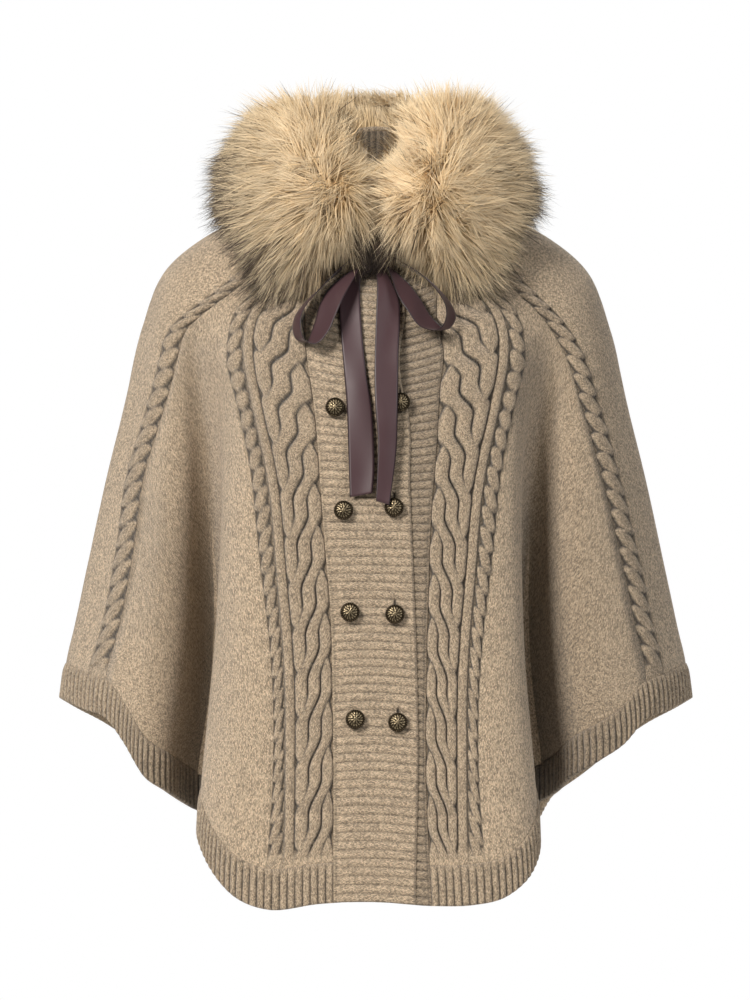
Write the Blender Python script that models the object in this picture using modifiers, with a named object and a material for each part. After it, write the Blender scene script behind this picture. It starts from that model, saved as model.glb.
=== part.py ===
"""Knitted cape jacket: fur collar, satin ribbon bow and a double row of domed shank buttons.

The cape keeps the hollow form that it has when it is worn. All sizes are in millimetres and are
turned to metres where a mesh is made. +X is the wearer's left, -Y is the front and +Z is up. The
origin is the middle of the neck, level with the high points of the shoulders.

A place on the cloth is given by two numbers. The turn is the angle round the body in degrees: 0 at
the centre front, 90 at the wearer's left side, 180 at the centre back. The share is how far down
the cloth lies: 0 at the neck seam and 1 at the hem.
"""
import math
from collections import namedtuple

import bmesh
import bpy
import numpy as np
from mathutils import Matrix, Quaternion, Vector

MM = 0.001

# Cloth, seams and relief
WALL = 3.0                 # thickness of the plain knit
SEAM_GAP = 0.3             # space kept between two pieces that meet
CABLE_HEIGHT = 4.0         # how far a cable stands out of the plain knit
ROUND_RIB_HEIGHT = 3.0     # the straight rib between plait and rope
RIB_HEIGHT = 2.0           # ribs of the hem and of the bands
PLAIT_PERIOD = 46.0        # height of one crossing of the plait
ROPE_PERIOD = 21.5         # height of one turn of the narrow rope
RAGLAN_ROPE_PERIOD = 21.0  # height of one turn of the rope on the raglan line
HEM_RIB_PITCH = 8.0
BAND_RIB_PITCH = 9.0
COLLAR_RIB_PITCH = 6.7
CABLES_FROM = 0.13         # share at which the cables come out from under the fur
RIB_TOP = 0.94             # share at which the ribbed hem starts
EDGE_SHARE = 0.0013        # the gap between a panel and its ribbed hem, as a share

# Rows of points on plain knit, as shares: closest together where it turns over the shoulder
PLAIN_ROWS = (0.0, 0.04, 0.08, 0.12, 0.16, 0.20, 0.24, 0.285, 0.33, 0.42, 0.52, 0.63, 0.74, 0.85)

# Rings of the body, from the neck seam to the hem. The fold column says how much of the hem's
# folding the ring already has.
Ring = namedtuple("Ring", "name share half_width front_y back_y z_front z_side z_back fold")
RINGS = (
    Ring("neck seam", 0.00, 75, -66, 62, -52, 6, 16, 0.00),
    Ring("yoke", 0.08, 126, -98, 88, -100, -15, -28, 0.00),
    Ring("shoulder", 0.16, 178, -122, 112, -150, -39, -80, 0.00),
    Ring("shoulder turn", 0.24, 222, -138, 128, -205, -76, -140, 0.07),
    Ring("upper arm", 0.33, 246, -147, 137, -268, -135, -210, 0.24),
    Ring("chest", 0.44, 264, -155, 144, -345, -214, -290, 0.47),
    Ring("waist", 0.56, 283, -163, 150, -430, -292, -380, 0.69),
    Ring("elbow", 0.70, 301, -174, 160, -525, -375, -480, 0.87),
    Ring("forearm", 0.84, 317, -186, 172, -618, -450, -585, 0.94),
    Ring("rib top", RIB_TOP, 326, -194, 181, -690, -490, -668, 0.96),
    Ring("hem", 1.00, 331, -198, 185, -730, -526, -708, 1.00),
)

# The folded hem line. The wearer's left half is at x_left and the right half at -x_right.
HemPlace = namedtuple("HemPlace", "name turn y x_left z_left x_right z_right")
HEM_LINE = (
    HemPlace("centre front", 0, -198, 0, -730, 0, -730),
    HemPlace("front", 12, -200, 60, -734, 60, -732),
    HemPlace("front", 20, -198, 101, -733, 110, -738),
    HemPlace("front corner", 27, -191, 134, -725, 147, -724),
    HemPlace("front corner", 33, -173, 158, -705, 171, -696),
    HemPlace("crest", 38, -148, 168, -680, 183, -668),
    HemPlace("crest turned in", 43, -105, 166, -652, 182, -652),
    HemPlace("valley wall", 48, -54, 157, -636, 173, -645),
    HemPlace("valley", 53, -33, 168, -634, 184, -644),
    HemPlace("valley", 58, -50, 186, -624, 200, -634),
    HemPlace("arm", 63, -90, 205, -604, 218, -620),
    HemPlace("arm", 68, -106, 232, -588, 242, -603),
    HemPlace("arm ridge", 73, -98, 258, -571, 262, -570),
    HemPlace("arm ridge", 78, -82, 280, -547, 281, -545),
    HemPlace("side", 84, -48, 308, -536, 306, -536),
    HemPlace("side corner", 90, 0, 331, -526, 331, -526),
    HemPlace("side", 98, 54, 316, -538, 316, -538),
    HemPlace("back ridge", 106, 92, 286, -556, 286, -556),
    HemPlace("back ridge", 113, 100, 256, -578, 256, -578),
    HemPlace("back valley", 121, 88, 222, -606, 222, -606),
    HemPlace("back valley", 129, 86, 188, -632, 188, -632),
    HemPlace("back crest", 137, 116, 172, -660, 172, -660),
    HemPlace("back crest", 145, 152, 158, -690, 158, -690),
    HemPlace("back", 154, 178, 126, -712, 126, -712),
    HemPlace("back", 166, 188, 70, -724, 70, -724),
    HemPlace("centre back", 180, 187, 0, -728, 0, -728),
)

# Lines drawn on the fronts as they are seen from the front: distance from the centre line at a
# depth below the origin. The turn at the neck places the part that lies under the fur.
LinePlace = namedtuple("LinePlace", "depth x")
BAND_SEAM_LEFT = (
    LinePlace(140, 63), LinePlace(153, 68), LinePlace(205, 65.5), LinePlace(265, 62.4),
    LinePlace(325, 57.5), LinePlace(416, 54), LinePlace(495, 52), LinePlace(606, 51.5),
    LinePlace(730, 57),
)
BAND_SEAM_RIGHT = (
    LinePlace(115, 73.5), LinePlace(153, 72.8), LinePlace(225, 63.4), LinePlace(305, 57.2),
    LinePlace(355, 53.5), LinePlace(434, 47), LinePlace(525, 44.7), LinePlace(730, 43.7),
)
UPPER_BAND_EDGE = (
    LinePlace(70, 11.4), LinePlace(115, 31), LinePlace(137, 29), LinePlace(165, 24.5),
    LinePlace(200, 27), LinePlace(225, 33), LinePlace(305, 35.4), LinePlace(408, 39.5),
    LinePlace(495, 42.6), LinePlace(556, 43.7), LinePlace(730, 40.6),
)
PLAIT_EDGE = (
    LinePlace(70, 74), LinePlace(95, 97), LinePlace(115, 116), LinePlace(153, 128),
    LinePlace(172, 127), LinePlace(213, 119.5), LinePlace(296, 102), LinePlace(395, 92.5),
    LinePlace(486, 85), LinePlace(606, 83.5), LinePlace(730, 85.5),
)
ROPE_EDGE = (
    LinePlace(70, 95), LinePlace(95, 122), LinePlace(115, 143), LinePlace(153, 155),
    LinePlace(172, 156), LinePlace(213, 146), LinePlace(296, 129), LinePlace(346, 124),
    LinePlace(396, 118.5), LinePlace(440, 113), LinePlace(486, 108.5), LinePlace(606, 106.5),
    LinePlace(671, 111), LinePlace(730, 117),
)
RAGLAN_MIDDLE_LEFT = (
    LinePlace(60, 112), LinePlace(75, 130), LinePlace(92, 148), LinePlace(105, 161),
    LinePlace(118, 175), LinePlace(135, 190), LinePlace(160, 205), LinePlace(185, 215),
    LinePlace(217, 224), LinePlace(241, 232), LinePlace(272, 240), LinePlace(305, 249),
    LinePlace(361, 262), LinePlace(401, 271), LinePlace(446, 280), LinePlace(488, 290),
    LinePlace(530, 295),
)
RAGLAN_MIDDLE_RIGHT = (
    LinePlace(60, 112), LinePlace(75, 130), LinePlace(92, 149), LinePlace(105, 166),
    LinePlace(118, 184), LinePlace(140, 208), LinePlace(165, 216), LinePlace(197, 224),
    LinePlace(240, 237), LinePlace(296, 253), LinePlace(356, 261), LinePlace(406, 269),
    LinePlace(451, 278), LinePlace(500, 292), LinePlace(530, 295),
)
BACK_RAGLAN = ((0.0, 122.0), (0.16, 130.0), (0.33, 121.0), (0.7, 107.0), (1.0, 101.0))

ROUND_RIB_WIDTH = 11.0
RAGLAN_ROPE_HALF = 10.0

# Columns across a field, as shares of its width
PLAIT_MARKS = (0, 0.10, 0.233, 0.333, 0.433, 0.567, 0.667, 0.767, 0.90, 1)
BACK_MARKS_HALF = (0, 0.04, 0.08, 0.12, 0.155, 0.19, 0.225, 0.26, 0.30, 0.35, 0.42)
BACK_MARKS = (*BACK_MARKS_HALF, 0.5, *(1 - mark for mark in reversed(BACK_MARKS_HALF)))
BAND_MARKS = (0, 0.14, 0.43, 0.72, 1)

# Button bands
BAND_OVERLAP = 16.0        # how far the under band starts from the upper band's seam
BAND_STACK = WALL + 1.2    # height of the upper band over the under band
BAND_REVEAL = 0.6          # from the upper band's edge to the ribs of the under band

# Stand collar
COLLAR_WALL = 3.0
COLLAR_OPEN = 5.0          # turn at which each end of the collar stops, at the centre front
CollarRing = namedtuple("CollarRing", "name half_width front_y back_y z_front z_side z_back")
COLLAR_FOOT = CollarRing("foot", 75, -66, 62, -51.0, 6.9, 16.9)
COLLAR_TOP = CollarRing("top", 70, -60, 58, -14, 52, 79)

# Fur collar: for each turn, the share of cloth that it covers, how far out it reaches and at what
# height, and where its top lies.
FurPlace = namedtuple("FurPlace", "name turn covers reach reach_z top_radius top_z")
FUR = (
    FurPlace("centre front", 2.5, 0.003, 112, -8, 84, 20),
    FurPlace("lobe", 8, 0.004, 138, -10, 88, 42),
    FurPlace("lobe", 15, 0.020, 152, -14, 92, 68),
    FurPlace("lobe", 24, 0.060, 164, -20, 98, 90),
    FurPlace("lobe", 32, 0.140, 172, -24, 104, 101),
    FurPlace("lobe", 42, 0.180, 178, -24, 110, 106),
    FurPlace("lobe", 54, 0.170, 182, -16, 113, 104),
    FurPlace("side", 68, 0.150, 180, -4, 113, 96),
    FurPlace("side", 84, 0.140, 173, 8, 112, 88),
    FurPlace("side back", 100, 0.135, 168, 14, 109, 90),
    FurPlace("side back", 118, 0.130, 162, 18, 105, 98),
    FurPlace("back", 138, 0.125, 155, 22, 99, 107),
    FurPlace("back", 158, 0.120, 150, 26, 94, 114),
    FurPlace("centre back", 180, 0.120, 148, 28, 92, 117),
)
COLLAR_STATIONS = 33       # columns of the stand collar's outer face and sections of the fur
FUR_CLEARANCE = 0.5        # round the stand collar
FUR_OVER_KNIT = 2.6        # lift of its underside over plain knit
FUR_OVER_CABLES = 5.2      # lift of its underside where cables run under its edge
FUR_OVER_BANDS = 7.6       # lift of its underside where the button bands run under it

# Satin ribbon: both edges of each strip, as seen from the front, and its lift off the cloth.
RibbonPlace = namedtuple("RibbonPlace", "x z lift other_x other_z other_lift")
RIBBON_WALL = 1.0
RIBBON_TAIL_RIGHT = (
    RibbonPlace(-14, -76.5, 16, -3, -76.5, 16), RibbonPlace(-37, -92, 10, -17, -90, 11),
    RibbonPlace(-38, -126, 9, -15.5, -126, 10), RibbonPlace(-33, -185, 9, -10, -185, 10),
    RibbonPlace(-30, -225, 9, -4, -225, 10), RibbonPlace(-28, -285, 11, -1.5, -278, 12),
    RibbonPlace(-27, -314, 12, -3.5, -310, 13),
)
RIBBON_TAIL_LEFT = (
    RibbonPlace(0, -76.5, 17, 9, -76.5, 16), RibbonPlace(1, -94, 20, 18, -94, 15),
    RibbonPlace(0, -126, 18, 25, -116, 13), RibbonPlace(-1.5, -175, 19, 23.5, -166, 17),
    RibbonPlace(-1, -215, 21, 22.5, -225, 19), RibbonPlace(2, -262, 21, 21, -268, 17),
    RibbonPlace(0, -318, 19, 14, -322, 18),
)
RIBBON_LOOP_RIGHT = (
    RibbonPlace(-15.8, -62, 14, -15.8, -60, 28), RibbonPlace(-32, -76, 12, -30, -72, 30),
    RibbonPlace(-52, -92, 10, -49, -88, 32), RibbonPlace(-68, -108, 9, -64, -104, 30),
    RibbonPlace(-80, -122, 9, -76, -119, 28), RibbonPlace(-83, -136, 9, -80, -133, 28),
    RibbonPlace(-80, -148, 10, -75, -150, 28), RibbonPlace(-71, -150, 12, -63, -153, 29),
    RibbonPlace(-64, -132, 14, -52, -140, 30), RibbonPlace(-57, -110, 15, -44, -122, 31),
    RibbonPlace(-44, -92, 16, -36, -104, 31), RibbonPlace(-15.8, -72, 18, -15.8, -74, 28),
)
RIBBON_LOOP_LEFT = (
    RibbonPlace(11.8, -62, 14, 11.8, -60, 28), RibbonPlace(28, -75, 12, 26, -72, 30),
    RibbonPlace(48, -86, 10, 44, -82, 32), RibbonPlace(66, -102, 9, 61, -98, 30),
    RibbonPlace(76, -118, 9, 72, -114, 28), RibbonPlace(77, -130, 10, 73, -130, 28),
    RibbonPlace(70, -138, 12, 64, -141, 29), RibbonPlace(58, -126, 13, 47, -135, 30),
    RibbonPlace(47, -108, 14, 36, -118, 31), RibbonPlace(34, -92, 15, 26, -102, 30),
    RibbonPlace(11.8, -72, 18, 11.8, -74, 28),
)
KNOT_SIZE = (26.0, 14.0, 18.0)       # across, deep, high
KNOT_BEVEL = 4.0
KNOT_PLACE = (-2.0, -67.0, 21.0)     # x, z and lift of its middle

# Buttons
BUTTON_RADIUS = 10.0
BUTTON_DOME = 6.0
BUTTON_RIM = 1.6
SHANK_RADIUS = 1.5
SHANK_SEAT = 1.0           # over the upper band's rib below its middle
SHANK_SEAT_UNDER = 0.9     # over the under band, inside the buttonhole
BUTTONHOLE = (4.2, 16.0)             # width and height
ButtonPlace = namedtuple("ButtonPlace", "row x_right z_right x_left z_left tilt_right tilt_left")
BUTTONS = (
    ButtonPlace(1, -41.6, -222.5, 25.0, -217.4, -6, 4),
    ButtonPlace(2, -33.3, -328.6, 18.7, -325.5, 8, -5),
    ButtonPlace(3, -27.0, -433.7, 19.8, -435.8, 4, 8),
    ButtonPlace(4, -21.8, -543.9, 22.9, -547.0, -8, 5),
)

Finish = namedtuple("Finish", "name colour roughness metallic")
KNIT = Finish("wool knit", (0.435, 0.345, 0.245, 1), 0.95, 0.0)
FUR_FINISH = Finish("fur", (0.56, 0.42, 0.25, 1), 0.9, 0.0)
SATIN = Finish("satin ribbon", (0.115, 0.075, 0.08, 1), 0.45, 0.0)
BRASS = Finish("antique brass", (0.16, 0.12, 0.075, 1), 0.45, 1.0)


# ---------------------------------------------------------------- curves and places on the cloth

def curve_through(knots, values):
    """Return a function that reads a smooth curve through the values at the knots."""
    knots = np.array(knots, dtype=float)
    values = np.array(values, dtype=float)
    slopes = np.gradient(values, knots, axis=0)

    def at(place):
        place = np.clip(np.asarray(place, dtype=float), knots[0], knots[-1])
        i = np.clip(np.searchsorted(knots, place, side="right") - 1, 0, len(knots) - 2)
        width = knots[i + 1] - knots[i]
        s = (place - knots[i]) / width
        if values.ndim == 2:
            s, width = s[..., None], width[..., None]
        start = (1 + 2 * s) * (1 - s) ** 2 * values[i] + s * (1 - s) ** 2 * width * slopes[i]
        end = s * s * (3 - 2 * s) * values[i + 1] + s * s * (s - 1) * width * slopes[i + 1]
        return start + end

    return at


def smooth_step(value):
    """Go gently from 0 to 1 as the value does."""
    value = np.clip(value, 0.0, 1.0)
    return value * value * (3 - 2 * value)


def closed_hem_curve():
    """Return the curve of the folded hem line, all the way round with an overlap at the back."""
    left = [(p.turn, (p.x_left, p.y, p.z_left)) for p in HEM_LINE]
    right = [(-p.turn, (-p.x_right, p.y, p.z_right)) for p in HEM_LINE[1:-1]]
    around = sorted(left + right)
    before = [(turn - 360, place) for turn, place in around[-3:]]
    after = [(turn + 360, place) for turn, place in around[:3]]
    knots, places = zip(*(before + around + after))
    return curve_through(knots, places)


RING_AT = curve_through([ring.share for ring in RINGS], [ring[2:] for ring in RINGS])
HEM_AT = closed_hem_curve()


def ring_point(turn, half_width, front_y, back_y, z_front, z_side, z_back):
    """Return the places at the given turns on an oval ring that dips at the front and the back."""
    angle = np.radians(turn)
    ahead = np.cos(angle)
    in_front = ahead > 0
    y = np.where(in_front, front_y * ahead, -back_y * ahead)
    z = z_side + np.where(in_front, z_front - z_side, z_back - z_side) * ahead ** 2
    return np.stack([half_width * np.sin(angle), y, z], axis=-1)


def cloth_point(turn, share):
    """Return the places of the plain knit's outer face."""
    turn, share = np.broadcast_arrays(np.asarray(turn, dtype=float), np.asarray(share, dtype=float))
    sizes = np.moveaxis(RING_AT(share), -1, 0)
    plain = ring_point(turn, *sizes[:6])
    plain_hem = ring_point(turn, *RINGS[-1][2:8])
    folded_hem = HEM_AT((turn + 180.0) % 360.0 - 180.0)
    return plain + sizes[6][..., None] * (folded_hem - plain_hem)


def cloth_normal(turn, share):
    """Return the directions that point straight out of the cloth."""
    turn_step, share_step = 0.5, 0.004
    share = np.clip(share, share_step, 1 - share_step)
    round_way = cloth_point(turn + turn_step, share) - cloth_point(turn - turn_step, share)
    down_way = cloth_point(turn, share + share_step) - cloth_point(turn, share - share_step)
    normal = np.cross(down_way, round_way)
    return normal / np.linalg.norm(normal, axis=-1, keepdims=True)


def lifted_point(turn, share, lift):
    """Return places that stand off the plain knit's outer face by a lift."""
    turn, share, lift = np.broadcast_arrays(np.asarray(turn, dtype=float), share, lift)
    return cloth_point(turn, share) + cloth_normal(turn, share) * lift[..., None]


def halve_until_met(is_beyond, low, high):
    """Return the values between low and high where is_beyond turns true."""
    for _ in range(36):
        middle = (low + high) / 2
        beyond = is_beyond(middle)
        low = np.where(beyond, low, middle)
        high = np.where(beyond, middle, high)
    return (low + high) / 2


def seam(line, side, neck_turn, turn_range, shift=0.0, shares_from=CABLES_FROM):
    """Return the turn at each share of a line drawn in the front view, on one side of the cape."""
    x_at = curve_through([place.depth for place in line], [place.x + shift for place in line])
    shares = np.linspace(shares_from, 1.0, 40)

    def is_beyond(turn):
        place = cloth_point(side * turn, shares)
        return side * place[:, 0] > x_at(-place[:, 2])

    low = np.full(shares.shape, float(turn_range[0]))
    high = np.full(shares.shape, float(turn_range[1]))
    turns = side * halve_until_met(is_beyond, low, high)
    return curve_through([0.0, *shares], [side * neck_turn, *turns])


def front_place(x, z):
    """Return the turn and share of the place on the fronts that is seen at x and z."""
    side = 1.0 if x >= 0 else -1.0
    shares = np.linspace(0.0, 1.0, 101)

    def is_beyond(turn):
        return side * cloth_point(side * turn, shares)[:, 0] > abs(x)

    turns = side * halve_until_met(is_beyond, np.zeros(101), np.full(101, 60.0))
    share = np.interp(-z, -cloth_point(turns, shares)[:, 2], shares)
    return float(np.interp(share, shares, turns)), float(share)


# ---------------------------------------------------------------- relief of the knit, 0 to 1

def plait_relief(across, down):
    """Three lanes: every period each strand steps out by a lane, over the one it crosses."""
    height = np.zeros_like(down)
    for strand in range(int(np.min(down) // PLAIT_PERIOD) - 3, int(np.max(down) // PLAIT_PERIOD) + 1):
        run = down / PLAIT_PERIOD - strand
        lane = np.floor(run) + smooth_step((run % 1.0 - 0.5) / 0.5)
        middle = (np.minimum(lane, 2.0) + 0.5) / 3
        roundness = 1 - ((across - middle) / 0.165) ** 2
        ends = np.minimum(smooth_step(run / 0.4), smooth_step((3.0 - run) / 0.4))
        height = np.maximum(height, np.sqrt(np.maximum(roundness, 0)) * ends)
    return height


def rope_relief(across, down, period):
    """Two strands twisted into a rope: slanted lobes on a round back."""
    back = np.sqrt(np.maximum(1 - (2 * across - 1) ** 2, 0))
    lobe = np.abs(np.sin(np.pi * (down / period - 0.5 * across)))
    return back * (0.3 + 0.7 * lobe)


def plain_relief(across, down):
    """No relief."""
    return np.zeros_like(down)


def round_rib_relief(across, down):
    """One straight round rib."""
    return np.full_like(down, math.sqrt(max(1 - (2 * across - 1) ** 2, 0)))


# ---------------------------------------------------------------- meshes

Column = namedtuple("Column", "station keys points")


def add_object(name, points, faces, finish, collection):
    """Make one closed body from points in millimetres, with its faces pointing out."""
    mesh = bpy.data.meshes.new(name)
    work = bmesh.new()
    corners = [work.verts.new([value * MM for value in point]) for point in points]
    for face in faces:
        work.faces.new([corners[i] for i in face])
    bmesh.ops.recalc_face_normals(work, faces=work.faces)
    if work.calc_volume(signed=True) < 0:
        bmesh.ops.reverse_faces(work, faces=work.faces)
    work.to_mesh(mesh)
    work.free()
    mesh.shade_smooth()
    mesh.set_sharp_from_angle(angle=math.radians(50))
    mesh.materials.append(finish_material(finish))
    thing = bpy.data.objects.new(name, mesh)
    collection.objects.link(thing)
    return thing


def finish_material(finish):
    """Return the Principled material of a finish, made once."""
    material = bpy.data.materials.get(finish.name)
    if material is None:
        material = bpy.data.materials.new(finish.name)
        material.use_nodes = True
        shader = material.node_tree.nodes["Principled BSDF"]
        shader.inputs["Base Color"].default_value = finish.colour
        shader.inputs["Roughness"].default_value = finish.roughness
        shader.inputs["Metallic"].default_value = finish.metallic
        material.diffuse_color = finish.colour
    return material


def zip_faces(first, first_keys, second, second_keys):
    """Fill the strip between two rows of points, each of which has its own spacing."""
    faces = []
    i, j = 0, 0
    while i < len(first) - 1 or j < len(second) - 1:
        first_reach = abs(first_keys[i + 1] - second_keys[j]) if i < len(first) - 1 else math.inf
        second_reach = abs(second_keys[j + 1] - first_keys[i]) if j < len(second) - 1 else math.inf
        if first_reach <= second_reach:
            faces.append((first[i], first[i + 1], second[j]))
            i += 1
        else:
            faces.append((first[i], second[j + 1], second[j]))
            j += 1
    return faces


def closed_wall(name, outer, inner, finish, collection):
    """Join an outer and an inner face, given as columns, into one closed wall of cloth."""
    points, faces, rows = [], [], {}
    for face_name, columns in (("outer", outer), ("inner", inner)):
        rows[face_name] = []
        for column in columns:
            start = len(points)
            points.extend(column.points)
            rows[face_name].append(list(range(start, start + len(column.points))))
        for k in range(len(columns) - 1):
            ids = rows[face_name]
            faces += zip_faces(ids[k], columns[k].keys, ids[k + 1], columns[k + 1].keys)
    for end in (0, -1):
        faces += zip_faces(rows["outer"][end], outer[end].keys, rows["inner"][end], inner[end].keys)
        faces += zip_faces([ids[end] for ids in rows["outer"]], [c.station for c in outer],
                           [ids[end] for ids in rows["inner"]], [c.station for c in inner])
    return add_object(name, points, faces, finish, collection)


# ---------------------------------------------------------------- knitted panels

# A field is a strip of a panel between two seams. Its marks are the shares of its width at which
# there is a column, and a spacing is the height between two rows of points where it has relief.
Field = namedtuple("Field", "start end marks relief height spacing inner_every")


def plain_field(start, end, marks):
    """Return a field of plain knit."""
    return Field(start, end, marks, plain_relief, 0.0, None, 1)


def even_marks(count):
    """Return the marks of a field that is split into equal columns."""
    return [k / count for k in range(count + 1)]


def field_turns(start, end, mark, shares, drawn_in=0.0):
    """Return the turns of one column between two seams, moved round by a distance in millimetres."""
    turns = start(shares) * (1 - mark) + end(shares) * mark
    if drawn_in:
        step = 0.5
        width = np.linalg.norm(cloth_point(turns + step, shares) - cloth_point(turns - step, shares),
                               axis=-1)
        turns = turns + np.sign(end(shares) - start(shares)) * drawn_in / width
    return turns


def lengths_down(turn_at, shares):
    """Return how far down the cloth each share lies, along a line."""
    places = cloth_point(turn_at(shares), shares)
    steps = np.linalg.norm(np.diff(places, axis=0), axis=1)
    return np.concatenate([[0.0], np.cumsum(steps)])


def cable_rows(field, bottom):
    """Return the shares of a relief field's rows, and how far down the relief each one lies."""
    samples = np.linspace(CABLES_FROM, bottom, 400)
    lengths = lengths_down(lambda s: (field.start(s) + field.end(s)) / 2, samples)
    fine = np.arange(0, lengths[-1] - field.spacing * 0.6, field.spacing)
    above = [share for share in PLAIN_ROWS if share < CABLES_FROM - 0.01]
    shares = np.concatenate([above, np.interp(fine, lengths, samples), [bottom]])
    downs = np.concatenate([np.zeros(len(above)), fine, lengths[-1:]])
    return shares, downs


def relief_lift(field, mark, downs):
    """Return the lift of a column's points, which fades out at both ends of a cable."""
    ends = np.minimum(smooth_step(downs / 20), smooth_step((downs[-1] - downs) / 14))
    return field.relief(mark, downs) * ends * field.height


PlanColumn = namedtuple("PlanColumn", "field mark drawn_in has_relief is_inner")


def column_plan(fields):
    """List a panel's columns: seam edges and field edges are plain, inner marks carry relief."""
    plan = []
    for number, field in enumerate(fields):
        is_last = number == len(fields) - 1
        for k, mark in enumerate(field.marks if is_last else field.marks[:-1]):
            at_start, at_end = number + k == 0, is_last and k == len(field.marks) - 1
            drawn_in = SEAM_GAP / 2 * (int(at_start) - int(at_end))
            has_relief = field.spacing is not None and 0 < mark < 1
            is_inner = k % field.inner_every == 0 or at_end
            plan.append(PlanColumn(field, mark, drawn_in, has_relief, is_inner))
    return plan


def edge_turns(plan):
    """Return the turns of a panel's columns where its ribbed hem starts."""
    share = np.array([RIB_TOP])
    return np.array([field_turns(c.field.start, c.field.end, c.mark, share, c.drawn_in)[0]
                     for c in plan])


def panel(name, fields, finish, collection):
    """Make one knitted panel from the neck seam to the top of its ribbed hem."""
    outer, inner = [], []
    bottom = RIB_TOP - EDGE_SHARE
    plain_rows = np.array([*PLAIN_ROWS, bottom])
    plan = column_plan(fields)
    stations = abs(edge_turns(plan))
    for column, station in zip(plan, stations):
        field, mark = column.field, column.mark
        shares, lift = plain_rows, 0.0
        if column.has_relief:
            shares, downs = cable_rows(field, bottom)
            lift = relief_lift(field, mark, downs)
        turns = field_turns(field.start, field.end, mark, shares, column.drawn_in)
        outer.append(Column(station, shares, lifted_point(turns, shares, lift)))
        if column.is_inner:
            turns = field_turns(field.start, field.end, mark, plain_rows, column.drawn_in)
            points = lifted_point(turns, plain_rows, -WALL)
            inner.append(Column(station, plain_rows, points))
    return closed_wall(name, outer, inner, finish, collection)


def merged_marks(first, second, apart):
    """Return both lists of marks in order, less those of the first that lie close to the second."""
    first, second = np.array(first), np.array(second)
    is_clear = abs(first[:, None] - second).min(axis=1) > apart
    return sorted([*first[is_clear], *second])


def hem_band(name, fields, finish, collection):
    """Make the ribbed hem of one panel, whose top follows the panel's edge straight by straight."""
    plan = column_plan(fields)
    start, end = fields[0].start, fields[-1].end
    top_share = np.array([RIB_TOP + EDGE_SHARE])
    turns = edge_turns(plan)
    first_turn, width = turns[0], turns[-1] - turns[0]
    edge_marks = (turns - first_turn) / width
    is_inner = np.array([column.is_inner for column in plan])

    samples = np.linspace(0, 1, 300)
    along = cloth_point(start(0.97) * (1 - samples) + end(0.97) * samples, 0.97)
    lengths = np.concatenate([[0], np.cumsum(np.linalg.norm(np.diff(along, axis=0), axis=1))])
    ribs = max(3, round(lengths[-1] / HEM_RIB_PITCH))
    rib_marks = np.interp(np.linspace(0, lengths[-1], 2 * ribs + 1), lengths, samples)
    rib_heights = RIB_HEIGHT * (np.arange(2 * ribs + 1) % 2)

    def column(mark, kept, base_lift, rib):
        """Return one column, whose top lies on the straights between the kept edge places."""
        edge = lifted_point(turns[kept], top_share, base_lift)
        top = np.array([np.interp(mark, edge_marks[kept], edge[:, axis]) for axis in range(3)])
        top = top + cloth_normal(first_turn + width * mark, RIB_TOP) * rib
        drawn_in = SEAM_GAP / 2 * (1 - 2 * mark)
        hem_turn = field_turns(start, end, mark, np.array([1.0]), drawn_in)
        foot = lifted_point(hem_turn, 1.0, base_lift + rib)[0]
        return Column(mark, np.array([RIB_TOP, 1.0]), np.array([top, foot]))

    outer_marks = merged_marks(rib_marks, edge_marks, 0.2 / ribs)
    inner_marks = merged_marks(rib_marks[::3], edge_marks[is_inner], 0.4 / ribs)
    everything = np.ones(len(plan), dtype=bool)
    outer = [column(mark, everything, 0.0, float(np.interp(mark, rib_marks, rib_heights)))
             for mark in outer_marks]
    inner = [column(mark, is_inner, -WALL, 0.0) for mark in inner_marks]
    return closed_wall(name, outer, inner, finish, collection)


# A band column lies at a share of the way between two seams, stands at a lift and may be ribbed.
BandColumn = namedtuple("BandColumn", "start end mark lift is_ribbed")


def band_ribs(edge):
    """Return the shares of a band's rib valleys and crests, and how high each one stands."""
    samples = np.linspace(0.0, 1.0, 500)
    lengths = lengths_down(edge, samples)
    ribs = round(lengths[-1] / BAND_RIB_PITCH)
    rows = np.interp(np.linspace(0, lengths[-1], 2 * ribs + 1), lengths, samples)
    return rows, RIB_HEIGHT * (np.arange(2 * ribs + 1) % 2)


def button_band(name, columns, finish, collection):
    """Make a band that is ribbed across, from the neck seam to the hem."""
    rib_rows, rib_heights = band_ribs(columns[-1].end)
    plain_rows = np.array([*PLAIN_ROWS, RIB_TOP, 1.0])
    outer, inner = [], []
    for k, column in enumerate(columns):
        drawn_in = SEAM_GAP / 2 * {0: 1, len(columns) - 1: -1}.get(k, 0)
        rows = rib_rows if column.is_ribbed else plain_rows
        turns = field_turns(column.start, column.end, column.mark, rows, drawn_in)
        lift = column.lift + (rib_heights if column.is_ribbed else 0.0)
        outer.append(Column(k, rows, lifted_point(turns, rows, lift)))
        back_rows = rib_rows[::4] if column.is_ribbed and k == len(columns) - 1 else plain_rows
        turns = field_turns(column.start, column.end, column.mark, back_rows, drawn_in)
        inner.append(Column(k, back_rows, lifted_point(turns, back_rows, column.lift - WALL)))
    return closed_wall(name, outer, inner, finish, collection)


# ---------------------------------------------------------------- collar, fur, ribbon and buttons

def collar_stations():
    """Return the turns at which the stand collar and the fur round it have their columns."""
    return np.linspace(COLLAR_OPEN, 360 - COLLAR_OPEN, COLLAR_STATIONS)


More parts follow.
